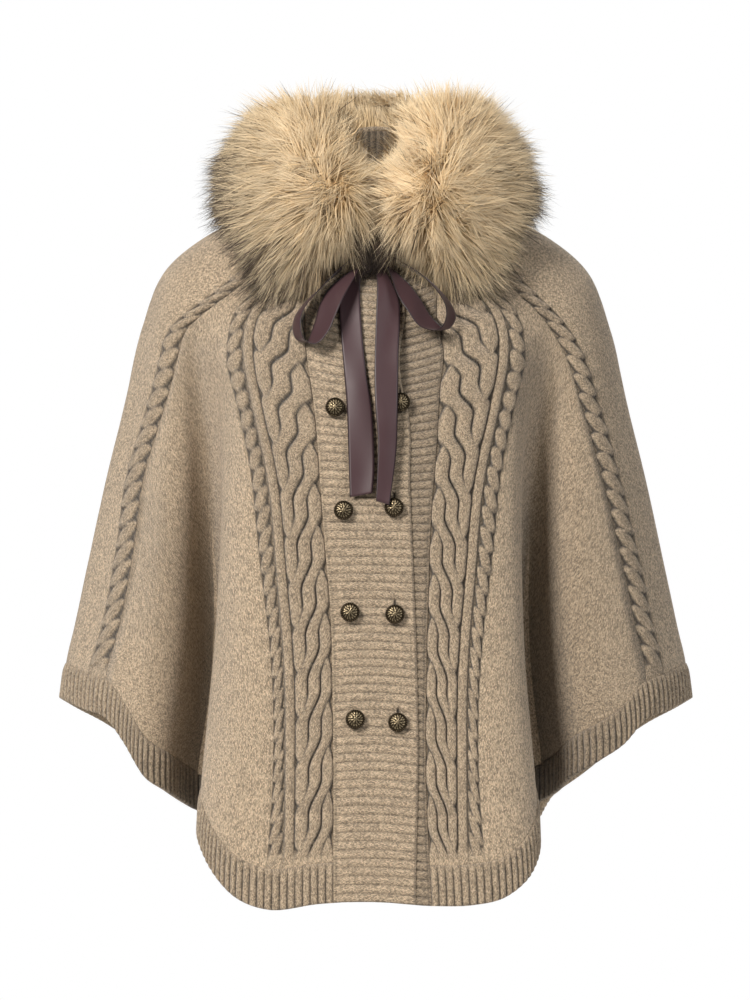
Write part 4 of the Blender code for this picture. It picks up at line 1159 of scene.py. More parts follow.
@dataclass
class ButtonBand(KnitPiece):
    """One front band, ribbed across, with a folded free edge and a seam to its front."""

    start: Curve
    end: Curve
    stack: float               # how far it stands off the plain face at its free edge
    columns: int = 20
    measured_column: int = 10  # the column at which the band's width is measured
    pitch: float = 9.0
    height: float = 1.6
    rise_mm: float = 14.0      # width over which the band rises off the front at its seam
    per_rib: int = 8           # rows of points for each rib
    free_at_end: bool = True
    shade: float = 0.03        # how much darker than the open cloth it looks
    groove_shade: float = 0.42
    seam_shade: float = 0.3
    buttonholes: Sequence[tuple[float, float]] = ()     # where each one's foot lies, across and up
    hole_half: float = 1.25    # half of how far a buttonhole gapes
    hole_height: float = 17.0
    hole_deep: float = 2.6
    hole_shade: float = 0.9

    def hole_marks(self) -> Array:
        """Find where the buttonholes lie on the band.

        Returns:
            For each buttonhole, its place as a share of the band's width.
        """
        marks = []
        for x, z in self.buttonholes:
            turn, share = self.form.front_place(x, z + self.hole_height / 2)
            marks.append((turn - self.start(share)) / (self.end(share) - self.start(share)))
        return np.array(marks)

    def hole_depth(self, places: Array) -> Array:
        """Return how deep each place lies in a buttonhole.

        Args:
            places: points of the band's outer face.

        Returns:
            Nothing on the open band, and 1 at the bottom of a buttonhole.
        """
        depth = np.zeros(places.shape[:2])
        for x, z in self.buttonholes:
            above = places[..., 2] - z
            inside = smooth_step((above + 1) / 1.5) * smooth_step((self.hole_height - above) / 1.5)
            depth = np.maximum(depth, inside * np.exp(-((places[..., 0] - x) / self.hole_half) ** 2))
        return depth

    def face(self) -> OuterFace:
        """Work out the ribs across the band, its seam, its free edge and its buttonholes.

        Returns:
            The outer face.
        """
        samples = np.linspace(0, 1.0, 500)
        lengths = lengths_along(self.form.point(self.end(samples), samples))
        ribs = round(lengths[-1] / self.pitch)
        down = np.linspace(0, lengths[-1], ribs * self.per_rib + 1)
        shares = np.interp(down, lengths, samples)
        marks = np.linspace(0, 1, self.columns + 1)
        near_holes = (self.hole_marks()[:, None] + np.linspace(-0.024, 0.024, 7)).ravel()
        marks = np.concatenate([[0, 0.015, 0.03, 0.05, 0.95, 0.97, 0.985, 1], marks[1:-1], near_holes])
        marks = np.unique(np.round(marks, 4))
        start, end = self.start(shares), self.end(shares)
        turn = start[:, None] * (1 - marks) + end[:, None] * marks
        measured = turn[:, self.measured_column]
        step = self.form.point(measured + 0.5, shares) - self.form.point(measured - 0.5, shares)
        width = np.linalg.norm(step, axis=1) * abs(end - start)
        across = width[:, None] * marks
        rib = abs(np.sin(np.pi * down / (lengths[-1] / ribs))) ** 0.6
        near_start, near_end = across, width[:, None] - across
        near_free = near_end if self.free_at_end else near_start
        near_seam = near_start if self.free_at_end else near_end
        full = smooth_step(near_seam / 4) * smooth_step(near_free / 2.5)
        off_front = self.stack * smooth_step(near_seam / self.rise_mm)
        lift = rib[:, None] * self.height * full + off_front
        lift = lift - 1.5 * (1 - smooth_step(near_free / 2.5)) + 0.5 * (1 - smooth_step(near_seam / 3))
        tint = self.shade + (1 - rib[:, None]) ** 1.3 * self.groove_shade * full
        tint = tint + self.seam_shade * np.exp(-((near_seam - 2.2) / 0.9) ** 2)
        depth = self.hole_depth(self.form.lifted(turn, shares[:, None], lift))
        lift, tint = lift - depth * self.hole_deep, 1 - (1 - tint) * (1 - depth * self.hole_shade)
        measure = np.stack([np.broadcast_to(down[:, None], turn.shape), across], axis=-1)
        return OuterFace(turn, shares, lift, measure, tint, every(self.per_rib, len(shares)),
                         every(4, len(marks)), off_front)


@dataclass
class StandCollar:
    """The stand collar inside the fur, ribbed on its inner face."""

    foot: tuple[float, ...] = (75, -66, 62, -51.0, 6.9, 16.9)
    top: tuple[float, ...] = (70, -60, 58, -14, 52, 79)
    wall: float = 3.0
    gap_turn: float = 5.0      # degrees from the centre front to each end
    pitch: float = 6.7
    per_rib: int = 6           # columns of points for each rib
    rib_mm: float = 1.4        # how far a rib stands out
    mean_radius: float = 66.0
    mm_per_degree: float = 1.15
    height: float = 64.0
    shade: float = 0.66        # little light gets into the neck

    def build(self, material: Material) -> Object:
        """Make the collar.

        Args:
            material: the knit's material.

        Returns:
            The finished piece.
        """
        foot, top = np.array(self.foot), np.array(self.top)
        inwards = np.array([-1, 1, -1, 0, 0, 0])
        ribs = round(2 * math.pi * self.mean_radius * (1 - self.gap_turn / 180) / self.pitch)
        turns = np.linspace(self.gap_turn, 360 - self.gap_turn, ribs * self.per_rib + 1)
        rib = abs(np.sin(np.pi * np.arange(len(turns)) / self.per_rib)) ** 0.6
        rows = np.linspace(0, 1, 12)
        sections = []
        for row in rows:
            size = foot * (1 - row) + top * row
            roll = 1.4 * max(0.0, (row - 0.93) / 0.07)
            depth = self.wall - roll * 0.6 + rib * self.rib_mm * min(1, (1 - row) * 12 + 0.35)
            sections.append(ring_point(turns, [size[k] + inwards[k] * depth for k in range(6)]))
        inner = np.stack(sections)
        outer = np.stack([ring_point(turns, foot * (1 - row) + top * row) for row in rows])
        measure = np.stack(np.broadcast_arrays(turns[None, :] * self.mm_per_degree,
                                               rows[:, None] * self.height), axis=-1)
        shade = self.shade - 0.4 * smooth_step((rows[:, None] - 0.9) / 0.1) + (1 - rib) * 0.2
        parts = MeshParts()
        parts.add_sheet(parts.add_points(inner, measure, shade), parts.add_points(outer, measure))
        piece = settle(parts.build("neck_rib"), material, "knit", "collar_stand")
        return piece


# ---------------------------------------------------------------- fur

@dataclass(frozen=True)
class FurPlace:
    """One section of the fur: how much cloth it covers, how far out it reaches, and its top."""

    turn: float
    covers: float
    reach: float
    reach_z: float
    top_radius: float
    top_z: float


FUR = (
    FurPlace(2.5, 0.003, 112, -8, 84, 20), FurPlace(8, 0.004, 138, -10, 88, 42),
    FurPlace(15, 0.020, 152, -14, 92, 68), FurPlace(24, 0.060, 164, -20, 98, 90),
    FurPlace(32, 0.140, 172, -24, 104, 101), FurPlace(42, 0.180, 178, -24, 110, 106),
    FurPlace(54, 0.170, 182, -16, 113, 104), FurPlace(68, 0.150, 180, -4, 113, 96),
    FurPlace(84, 0.140, 173, 8, 112, 88), FurPlace(100, 0.135, 168, 14, 109, 90),
    FurPlace(118, 0.130, 162, 18, 105, 98), FurPlace(138, 0.125, 155, 22, 99, 107),
    FurPlace(158, 0.120, 150, 26, 94, 114), FurPlace(180, 0.120, 148, 28, 92, 117),
)


@dataclass
class FurCollar:
    """The big fur collar: a padded ground and long hairs that lie away from a parting on each side."""

    form: CapeForm
    collar: StandCollar
    pile: LongFur = LongFur()
    hairs: int = 142000
    hair_length: float = 47.0
    hair_width: float = 0.9    # a few real hairs lie together in each, because one is too fine to show
    tufts: int = 5200
    guards: float = 0.05       # share of long hairs that stand out of the coat
    side_guards: float = 0.09  # how many more of them grow at the outer sides
    bend_over: float = 118.0   # the height above which the hairs bend over
    sunk: float = 27.0         # how far the ground lies inside the hairs' outline
    covered: float = 0.62      # share of the hairs' reach over the cloth that has ground under it
    parting_left: tuple[float, float, float, float] = (57.0, -4.0, 74.0, 80.0)     # x, z at foot and top
    parting_right: tuple[float, float, float, float] = (-42.0, 12.0, -59.0, 84.0)
    parting_y: float = -150.0
    uneven: tuple[float, float] = (9.0, 15.0)      # how far tufts part beside that line, across and up
    first_turn: float = 2.5    # degrees from the centre front to the ground's ends
    fine: int = 44             # points round the ground's profile
    hairy: tuple[int, int] = (9, 39)               # those between which hairs grow
    per_piece: int = 48000     # hairs in one mesh
    fill: float = 0.7          # how densely the ground is padded
    seed: int = 11

    def __post_init__(self) -> None:
        """Prepare the curve through the sections."""
        self.fur_at = curve_through([p.turn for p in FUR], [
            (p.covers, p.reach, p.reach_z, p.top_radius, p.top_z) for p in FUR])

    def section(self, turn: float) -> Array:
        """Return the ground's profile at a turn.

        Args:
            turn: degrees round the neck, from the centre front.

        Returns:
            A closed profile: underside, bulge, top and inner side.
        """
        away = abs(turn)
        covers, reach, reach_z, top_radius, top_z = self.fur_at(away)
        angle = math.radians(turn)
        outward = np.array([math.sin(angle), -math.cos(angle), 0.0])
        up = np.array([0.0, 0.0, 1.0])
        over_bands = 7.6 * (1 - smooth_step((away - 40) / 14))
        covers = covers * (self.covered + 0.08 * math.exp(-((away - 36) / 9) ** 2)
                           - 0.14 * smooth_step((away - 44) / 16))
        under = self.form.lifted(turn, np.array([covers * k for k in (0, 0.3, 0.6, 1)]),
                                 np.maximum(3.0, over_bands))
        edge = under[-1]
        edge_radius = math.hypot(edge[0], edge[1])
        sunk = self.sunk * min(1.0, away / 24 + 0.15)
        lobe = math.exp(-((away - 36) / 26) ** 2)
        reach, top_z = max(reach - sunk, edge_radius * 0.98), top_z - sunk * 0.72 - 10 * lobe
        top_radius = top_radius - sunk * 0.15
        bulge = []
        for quarter in (30, 60):
            rise = math.radians(quarter)
            way = unit(unit(edge * [1, 1, 0]) * math.cos(rise) + outward * math.sin(rise))
            radius = edge_radius + (reach - edge_radius) * math.sin(rise)
            bulge.append(way * radius + up * (reach_z + (edge[2] - reach_z) * math.cos(rise)))
        for quarter in (0, 22, 45, 68, 90):
            rise = math.radians(quarter)
            radius = top_radius + (reach - top_radius) * math.cos(rise)
            bulge.append(outward * radius + up * (reach_z + (top_z - reach_z) * math.sin(rise)))
        room = np.array([0.5, -0.5, 0.5, 0, 0, 0])
        collar_top = ring_point(turn, np.array(self.collar.top) + room)
        collar_foot = ring_point(turn, np.array(self.collar.foot) + room)
        inside = [collar_top + up * 1.0, collar_top * 0.5 + collar_foot * 0.5]
        if collar_top[2] + 2.0 > top_z:
            inside[0] = collar_top + up * (top_z - 2.0 - collar_top[2])
        return np.array([*under, *bulge, *inside])

    def ground(self) -> Array:
        """Return the ground as a fine grid, one closed profile for each turn.

        Returns:
            The grid's points.
        """
        front = np.linspace(self.first_turn, 30, 24)
        turns = np.concatenate([front, np.linspace(32, 328, 130), 360 - front[::-1]])
        grid = []
        for turn in turns:
            profile = self.section(turn if turn <= 180 else turn - 360)
            closed = np.concatenate([profile, profile[:1]])
            marks = np.linspace(0, len(profile), self.fine + 1)[:-1]
            grid.append(curve_through(range(len(closed)), closed)(marks))
        return np.array(grid)

    def build_ground(self, grid: Array, material: Material) -> Object:
        """Make the padded ground of the fur.

        Args:
            grid: the ground's points.
            material: the short wool under the hairs.

        Returns:
            The finished piece.
        """
        parts = MeshParts()
        ids = parts.add_points(grid)
        parts.add_grid(np.concatenate([ids, ids[:, :1]], axis=1), True)
        parts.add_faces(ids[:1, ::-1])
        parts.add_faces(ids[-1:])
        piece = settle(parts.build("fur_ground"), material, "fur", "collar_fur")
        return piece

    def roots(self, grid: Array, random: np.random.Generator) -> tuple[Array, Array, Array, Array]:
        """Choose where the hairs grow.

        Args:
            grid: the ground's points.
            random: the source of chance.

        Returns:
            The roots, the ground's normals, the way over the profile and the turn of each hair.
        """
        hairy = grid[:, slice(*self.hairy)]
        a, b, c = hairy[:-1, :-1], hairy[1:, :-1], hairy[:-1, 1:]
        weight = np.linalg.norm(np.cross(b - a, c - a), axis=-1)
        middles = (a + b) / 2
        turn = np.degrees(np.arctan2(middles[..., 0], -middles[..., 1]))
        weight = weight * (1.0 + 0.8 * (abs(turn) < 80))     # the front lobes' fur is the densest
        pick = random.choice(weight.size, self.hairs, p=weight.ravel() / weight.sum())
        i, j = np.unravel_index(pick, weight.shape)
        s, t = random.random((self.hairs, 1)), random.random((self.hairs, 1))
        a, b, c, d = hairy[i, j], hairy[i + 1, j], hairy[i, j + 1], hairy[i + 1, j + 1]
        root = (a * (1 - s) + b * s) * (1 - t) + (c * (1 - s) + d * s) * t
        along, over = unit(b - a), unit(a - c)
        return root, unit(np.cross(over, along)), over, turn[i, j]

    def hair_ways(self, root: Array, normal: Array, over: Array, turn: Array,
                  uneven: Array) -> tuple[Array, Array]:
        """Find the way that each hair lies along the ground.

        Args:
            root: the hairs' roots.
            normal: the ground's normals there.
            over: the way from the collar's top outwards over its bulge.
            turn: each hair's turn round the neck.
            uneven: how far each hair's tuft parts away from the parting line, across and up.

        Returns:
            The ways, and each root's distance from its parting.
        """
        partings = np.array([self.parting_left, self.parting_right])[np.where(turn > 0, 0, 1)]
        foot, top = partings[:, :2], partings[:, 2:]
        place = root[:, [0, 2]]
        along = np.sum((place - foot) * (top - foot), axis=1) / np.sum((top - foot) ** 2, axis=1)
        nearest = foot + (top - foot) * np.clip(along, 0, 1)[:, None] + uneven
        radial = np.stack([place[:, 0] - nearest[:, 0], root[:, 1] - self.parting_y,
                           place[:, 1] - nearest[:, 1]], axis=1)
        distance = np.hypot(radial[:, 0], radial[:, 2])
        radial[:, 2] += np.clip(along, 0, 1) * 14
        radial[:, 1] *= 0.5
        radial = unit(radial - normal * np.sum(radial * normal, axis=1, keepdims=True))
        swirl = (np.sign(turn) * 0.55 * np.exp(-distance / 34))[:, None]
        radial = unit(radial + np.cross(normal, radial) * swirl)
        front = smooth_step((100 - abs(turn[:, None])) / 35)
        way = radial * front + over * (1 - front)
        outside = smooth_step((abs(turn) - 100) / 20) * smooth_step(normal[:, 1] / 0.4)
        opening = (smooth_step((root[:, 2] - 18) / 26) * smooth_step((62 - abs(root[:, 0])) / 26)
                   * (1 - outside))      # the hairs beside the neck rise, and those of the outer back don't
        upwards = np.array([0.0, -0.25, 1.0])
        rising = upwards - normal * np.sum(normal * upwards, axis=1, keepdims=True)
        way = unit(way * (1 - 0.8 * opening[:, None]) + unit(rising) * 0.8 * opening[:, None])
        throat = smooth_step((-12 - root[:, 2]) / 14) * smooth_step((18 - abs(turn)) / 10)
        way = unit(way + np.array([0.0, -0.4, -1.6]) * throat[:, None])
        aside = np.cross(normal, way)
        drift = (np.sin(root[:, 0] * 0.071 + root[:, 2] * 0.093)
                 + np.sin(root[:, 2] * 0.17 - root[:, 1] * 0.11)
                 + 0.7 * np.sin(root[:, 0] * 0.23 + root[:, 1] * 0.19)) * 0.14
        return unit(way + aside * drift[:, None]), distance

    def build_hairs(self, grid: Array, material: Material) -> list[Object]:
        """Make the long hairs as slim tapered blades.

        Args:
            grid: the ground's points.
            material: the hairs' material.

        Returns:
            The finished pieces.
        """
        random = np.random.default_rng(self.seed)
        root, normal, over, turn = self.roots(grid, random)
        count = self.hairs
        heart = random.choice(count, self.tufts, replace=False)
        tree = KDTree(self.tufts)
        for number, place in enumerate(root[heart]):
            tree.insert(place, number)
        tree.balance()
        tuft = np.array([tree.find(place)[1] for place in root])
        uneven = random.normal(0, 1, (self.tufts, 2)) * np.array(self.uneven)
        way, distance = self.hair_ways(root, normal, over, turn, uneven[tuft])
        upright = (0.42 + 0.5 * np.exp(-(distance / 24) ** 2))[:, None]
        inner = 0.36 + 0.64 * smooth_step((abs(turn[:, None]) - 10) / 24)
        inner = np.maximum(inner, 0.92 * smooth_step((30 - root[:, 2:]) / 18))
        inside = (smooth_step((-normal[:, 1:2] - 0.1) / 0.4) * smooth_step((94 - root[:, 2:]) / 10)
                  * (abs(turn[:, None]) > 105))
        inner = inner * (1 - 0.5 * inside)
        sides = (smooth_step((distance - 48) / 35) * smooth_step((135 - abs(turn)) / 40))[:, None]
        guard = random.random((count, 1)) < self.guards + self.side_guards * sides
        length = self.hair_length * (0.70 + 0.42 * random.random((count, 1)) + 0.42 * guard) * inner
        droop = np.array([0.0, 0.0, -1.0])
        loose = (0.11 + 0.3 * np.exp(-(distance / 26) ** 2))[:, None]
        lay = unit(normal * (upright + random.normal(0, 0.10, (count, 1))) + way
                   + random.normal(0, 1, (count, 3)) * loose)
        stray = (0.19 + 0.3 * np.exp(-(distance[heart] / 30) ** 2))[:, None]
        tuft_lay = unit(normal[heart] * upright[heart] + way[heart]
                        + random.normal(0, 1, (self.tufts, 3)) * stray)[tuft]
        middle = root + lay * length * 0.5
        bent = unit(lay + way * 0.35 + droop * 0.10 + random.normal(0, 0.14, (count, 3)))
        tip = middle + bent * length * 0.5
        together = root[heart][tuft] + tuft_lay * length
        gather = (0.25 + 0.40 * random.random((count, 1))) * (1 - 0.8 * guard)
        tip = tip * (1 - gather) + (together + (way * 0.17 + droop * 0.06) * length * 0.5) * gather
        middle = middle * (1 - gather * 0.35) + (root[heart][tuft] + tuft_lay * length * 0.5) * gather * 0.35
        for places in (middle, tip):      # the hairs at the top bend over, so none stands too high
            places[:, 2] -= np.maximum(places[:, 2] - self.bend_over, 0) * 0.5
        across = unit(np.cross(lay, normal + random.normal(0, 0.35, (count, 3))))
        width = self.hair_width * (0.55 + 0.75 * random.random((count, 1)))
        points = np.stack([root - across * width / 2, root + across * width / 2,
                           middle - across * width * 0.42, middle + across * width * 0.42, tip], axis=1)
        high = smooth_step((root[:, 2:] - 55) / 40)
        soft = unit(normal * np.array([0.3, 0.85, 0.45]) * (1 - 0.7 * high * (normal[:, 1:2] > 0))
                    + np.array([0, -0.22, 0.12]) * (normal[:, 1:2] < 0.2)
                    + np.array([0, -0.5, 0.4]) * high + lay * 0.3
                    + across * random.normal(0, 0.3, (count, 1)))
        colours = self.hair_colours(root, turn, distance, random, tuft, guard[:, 0])
        parts = [slice(begin, begin + self.per_piece) for begin in range(0, count, self.per_piece)]
        return [self.hair_piece(f"fur_hairs_{number}", points[part], colours[part], soft[part], material)
                for number, part in enumerate(parts, 1)]

    def hair_colours(self, root: Array, turn: Array, distance: Array, random: np.random.Generator,
                     tuft: Array, guard: Array) -> Array:
        """Choose each hair's colours.

        Args:
            root: the hairs' roots.
            turn: each hair's turn round the neck.
            distance: each root's distance from its parting.
            random: the source of chance.
            tuft: the number of each hair's tuft.
            guard: whether each hair is one of the long ones that stand out.

        Returns:
            For each hair its colour at the root, at the middle and at the tip.
        """
        count = len(root)
        pile = self.pile
        golden, cream, pale, grey, dark = (
            np.array(linear(c)[:3]) for c in (pile.golden, pile.cream, pile.pale, pile.grey, pile.dark))
        shade = 0.66 + 0.58 * (0.5 * random.random(self.tufts)[tuft] + 0.5 * random.random(count))
        # painted shade: hairs further from their parting are painted a little darker
        shade = (shade * (1.06 - 0.14 * smooth_step((distance - 25) / 40)))[:, None]
        shade = shade * np.where(turn[:, None] < 0, 0.94, 1.03)     # the right lobe is nearer the light
        near = np.exp(-(distance / 34) ** 2)[:, None]
        outer = (smooth_step((distance - 55) / 45))[:, None]
        body = cream * (1 - outer * 0.5) + pale * outer * 0.5
        away = abs(turn)
        behind = smooth_step((away - 115) / 20)[:, None]
        start = golden * (0.72 + 0.50 * near) * (0.85 + 0.15 * shade)
        start = start * (1 - 0.75 * behind) + cream * shade ** 1.5 * 0.75 * behind
        middle = (body * (1 - 0.22 * near) + golden * 0.22 * near) * shade
        tip = (pale * 0.6 + cream * 0.4) * shade
        side = smooth_step((distance - 48) / 38) * smooth_step((135 - away) / 40)
        low = smooth_step((-30 - root[:, 2]) / 30) * smooth_step((away - 50) / 15)
        # painted shade: hairs low at the throat, over the knot, mostly get dark tips, for the shadow under
        # the lobes
        under = smooth_step((-14 - root[:, 2]) / 12) * smooth_step((17 - away) / 8)
        chance = 0.06 + 0.16 * side + 0.04 * low + under + 0.62 * guard * np.maximum(side, 0.2)
        is_dark = (0.45 * random.random(self.tufts)[tuft] + 0.55 * random.random(count) < chance)[:, None]
        dark_guard = is_dark & guard[:, None]
        middle = np.where(is_dark, middle * 0.4 + grey * 0.6, middle)
        # painted shade: the roots and middles of the hairs at the throat are painted darker
        start, middle = (tone * (1 - 0.72 * under[:, None]) for tone in (start, middle))
        middle = np.where(dark_guard, grey * 0.35 + dark * 0.65, middle)
        tip = np.where(is_dark, dark, tip)
        tip = np.where(dark_guard, dark * 0.5, tip)
        return np.clip(np.stack([start, middle, tip], axis=1), 0, 1)

    def hair_piece(self, name: str, points: Array, colours: Array, normals: Array,
                   material: Material) -> Object:
        """Make one piece of hairs.

        Args:
            name: the piece's name.
            points: five points a hair.
            colours: three colours a hair.
            normals: one soft normal a hair, so that the fur shades as one coat.
            material: the hairs' material.

        Returns:
            The finished piece.
        """
        parts = MeshParts()
        ids = parts.add_points(points)
        parts.add_faces(ids[:, [0, 1, 3, 2]])
        parts.add_faces(ids[:, [2, 3, 4]])
        piece = parts.build(name)
        layer = piece.data.color_attributes.new(name="hair", type="FLOAT_COLOR", domain="POINT")
        values = np.ones((len(points), 5, 4), dtype=np.float32)
        values[:, :, :3] = colours[:, [0, 0, 1, 1, 2]]
        layer.data.foreach_set("color", values.ravel())
        piece.data.normals_split_custom_set_from_vertices(np.repeat(normals, 5, axis=0))
        return settle(piece, material, "fur")


# ---------------------------------------------------------------- ribbon

RibbonPlace = tuple[float, float, float, float, float, float]   # x, z, lift, other x, z, lift

TAIL_RIGHT: tuple[RibbonPlace, ...] = (
    (-14, -76.5, 16, -3, -76.5, 16), (-32, -84, 13, -12, -83, 14), (-38, -94, 10, -16, -92, 11),
    (-38, -126, 9, -15.5, -126, 10), (-33, -185, 9, -10, -185, 10), (-30, -225, 9, -4, -225, 10),
    (-28, -285, 11, -1.5, -278, 12), (-27, -314, 12, -3.5, -310, 13))
TAIL_LEFT: tuple[RibbonPlace, ...] = (
    (0, -76.5, 17, 9, -76.5, 16), (1, -94, 20, 18, -94, 15), (0, -126, 18, 25, -116, 13),
    (-1.5, -175, 19, 23.5, -166, 17), (-1, -215, 21, 22.5, -225, 19), (2, -262, 21, 21, -268, 17),
    (0, -318, 19, 14, -322, 18))
LOOP_RIGHT: tuple[RibbonPlace, ...] = (
    (-15.8, -62, 14, -15.8, -60, 28), (-34, -77, 12, -28, -68, 30), (-54, -93, 10, -45, -84, 32),
    (-71, -109, 9, -61, -101, 30), (-83, -124, 9, -74, -118, 28), (-86.5, -138, 9, -78, -134, 28),
    (-83, -150, 10, -74, -151, 28), (-72, -153, 12, -61, -155, 29), (-64, -134, 14, -49, -142, 30),
    (-57, -111, 15, -41, -124, 31), (-44, -92, 16, -33, -106, 31), (-15.8, -72, 18, -15.8, -74, 28))
LOOP_LEFT: tuple[RibbonPlace, ...] = (
    (11.8, -62, 14, 11.8, -60, 28), (30, -75, 12, 24, -68, 30), (51, -87, 10, 42, -79, 32),
    (70, -103, 9, 59, -95, 30), (81, -119, 9, 71, -113, 28), (82, -131, 10, 72, -130, 28),
    (73, -140, 12, 63, -141, 29), (58, -127, 13, 45, -137, 30), (47, -109, 14, 33, -121, 31),
    (34, -92, 15, 23, -105, 30), (11.8, -72, 18, 11.8, -74, 28))


@dataclass
class RibbonStrip:
    """One strip of the tied ribbon between two edges, gently curled across."""

    form: CapeForm
    name: str
    places: Sequence[RibbonPlace]
    node: str
    length: float
    curl: float = 1.2
    width: float = 25.0
    thick: float = 0.5
    rows: int = 90
    across_steps: int = 10
    selvedge_from: float = 0.44     # how far from the middle the woven edge begins, in widths

    def build(self, material: Material) -> Object:
        """Make the strip.

        Args:
            material: the satin.

        Returns:
            The finished piece.
        """
        drawn = []
        for place in self.places:
            for x, z, lift in (place[:3], place[3:]):
                turn, share = self.form.front_place(x, z)
                drawn.append((x, self.form.point(turn, share)[1] - lift, z))
        edges_at = curve_through(range(len(self.places)), np.reshape(drawn, (-1, 6)))
        along = np.linspace(0, len(self.places) - 1, self.rows)
        edges = edges_at(along)
        first, second = edges[:, None, :3], edges[:, None, 3:]
        marks = np.linspace(0, 1, self.across_steps + 1)
        middle = first * (1 - marks[:, None]) + second * marks[:, None]
        run = np.gradient(middle, axis=0)
        facing = unit(np.cross(run, second - first))
        curl = self.curl * np.sin(np.pi * marks)[None, :, None] * np.sin(along * 1.7)[:, None, None]
        middle = middle + facing * curl
        lengths = lengths_along(middle[:, self.across_steps // 2])
        measure = np.stack(np.broadcast_arrays(marks[None, :] * self.width, lengths[:, None]), axis=-1)
        tint = np.broadcast_to((abs(marks - 0.5) > self.selvedge_from).astype(float), middle.shape[:2])
        parts = MeshParts()
        front = parts.add_points(middle + facing * self.thick / 2, measure, tint)
        back = parts.add_points(middle - facing * self.thick / 2, measure, tint)
        parts.add_sheet(front, back)
        piece = settle(parts.build(self.name), material, "ribbon", self.node)
        return piece


# ---------------------------------------------------------------- buttons

@dataclass(frozen=True)
class ButtonPlace:
    """Where one button sits, and how many degrees it is turned on its shank."""

    row: int
    side: Side
    x: float
    z: float
    tilt: float


BUTTONS = (
    ButtonPlace(1, Side.RIGHT, -41.6, -222.5, -6), ButtonPlace(1, Side.LEFT, 25.0, -217.4, 4),
    ButtonPlace(2, Side.RIGHT, -33.3, -328.6, 8), ButtonPlace(2, Side.LEFT, 18.7, -325.5, -5),
    ButtonPlace(3, Side.RIGHT, -27.0, -433.7, 4), ButtonPlace(3, Side.LEFT, 19.8, -435.8, 8),
    ButtonPlace(4, Side.RIGHT, -21.8, -543.9, -8), ButtonPlace(4, Side.LEFT, 22.9, -547.0, 5),
)


@dataclass
class DomedButton:
    """A cast shank button: a domed rosette in scrolled relief inside a beaded rim."""

    form: CapeForm
    radius: float = 10.0
    dome: float = 6.0
    face: float = 7.8          # lift of the button's back
    shank: float = 1.5         # the shank's radius
    foot_right: float = 5.0    # lift of its foot where it sits on the upper band
    foot_left: float = 0.9     # the same where it reaches through a buttonhole
    petals: int = 8
    beads: int = 28
    rosette: float = 0.52      # how far the petals reach, as a share of the radius
    scrolls: float = 0.76      # how far the scrolls round them reach
    groove: float = 0.82       # where the groove lies
    rim: float = 0.92          # where the beads lie
    relief: float = 0.5

    def surface(self) -> tuple[Array, Array]:
        """Return a polar grid of the button and how high its ornament stands.

        Returns:
            The points, ring by ring from the middle, and each one's height of ornament from 0 to 1.
        """
        rings, spokes = 34, 96
        r = np.linspace(0, 1, rings)[:, None]
        angle = np.linspace(0, 2 * np.pi, spokes, endpoint=False)[None, :]
        petal = np.cos(self.petals * angle + 2.6 * np.sin(np.pi * r * 1.4))
        scroll = np.cos(self.petals * 2 * angle - 7 * r) * np.cos(9.5 * r)
        heart = smooth_step((0.2 - r) / 0.06) * np.ones_like(angle)
        rosette = petal * abs(np.sin(np.pi * r / self.rosette)) ** 0.7
        ornament = np.clip(0.5 + 0.5 * np.where(r < self.rosette, rosette, scroll), 0, 1)
        ornament = np.maximum(ornament, heart)
        bead = np.clip(np.cos(self.beads * angle), 0, 1) ** 0.5 * np.exp(-((r - self.rim) / 0.05) ** 2)
        groove = np.exp(-((r - self.groove) / 0.03) ** 2)
        high = np.clip(ornament * (1 - smooth_step((r - self.scrolls) / 0.05)) + bead - groove, 0, 1)
        z = self.face + 1.6 + self.dome * np.sqrt(np.maximum(1 - (r * 0.97) ** 2, 0)) * 0.95
        z = z + high * self.relief
        radius = r * self.radius
        front = np.stack(np.broadcast_arrays(radius * np.cos(angle), radius * np.sin(angle), z), axis=-1)
        return front, np.broadcast_to(high, front.shape[:2])

    def build(self, place: ButtonPlace, material: Material) -> Object:
        """Make one button on its shank.

        Args:
            place: where it sits.
            material: the brass.

        Returns:
            The finished piece.
        """
        left = place.side is Side.LEFT
        front, high = self.surface()
        angle = np.linspace(0, 2 * np.pi, front.shape[1], endpoint=False)
        profile = ((self.radius, self.face + 1.3), (self.radius * 0.96, self.face + 0.3),
                   (self.radius * 0.85, self.face), (self.shank + 0.7, self.face),
                   (self.shank, self.face - 0.6),
                   (self.shank, self.foot_left if left else self.foot_right))
        back = np.array([[(radius * math.cos(a), radius * math.sin(a), height) for a in angle]
                         for radius, height in profile])
        turn, share = self.form.front_place(place.x, place.z)
        facing = Vector(self.form.normal(turn, share)).to_track_quat("Z", "Y")
        turned = np.array((facing @ Quaternion((0, 0, 1), math.radians(place.tilt))).to_matrix())
        out = self.form.point(turn, share)
        parts = MeshParts()
        points = out + np.concatenate([front[1:], back]) @ turned.T
        tints = np.concatenate([high[1:], np.full(back.shape[:2], 0.15)])
        ids = parts.add_points(points, tints=tints)
        closed = np.concatenate([ids, ids[:, :1]], axis=1)
        parts.add_grid(closed)
        top = parts.add_points(out + front[0, :1] @ turned.T, tints=np.array([1.0]))
        ring = closed[0]
        parts.add_faces(np.stack([np.full(len(ring) - 1, top[0]), ring[:-1], ring[1:]], axis=1))
        parts.add_faces(ids[-1:, ::-1])
        word = f"button_{place.row}_{'left' if left else 'right'}"
        return settle(parts.build(f"brass_{word}"), material, "buttons", word)


# ---------------------------------------------------------------- studio

@dataclass(frozen=True)
class SoftLight:
    """A square soft light that faces the cape."""

    name: str
    place: tuple[float, float, float]      # in metres
    side: float                            # in metres
    power: float                           # in watts
    colour: str = "#FFFFFF"


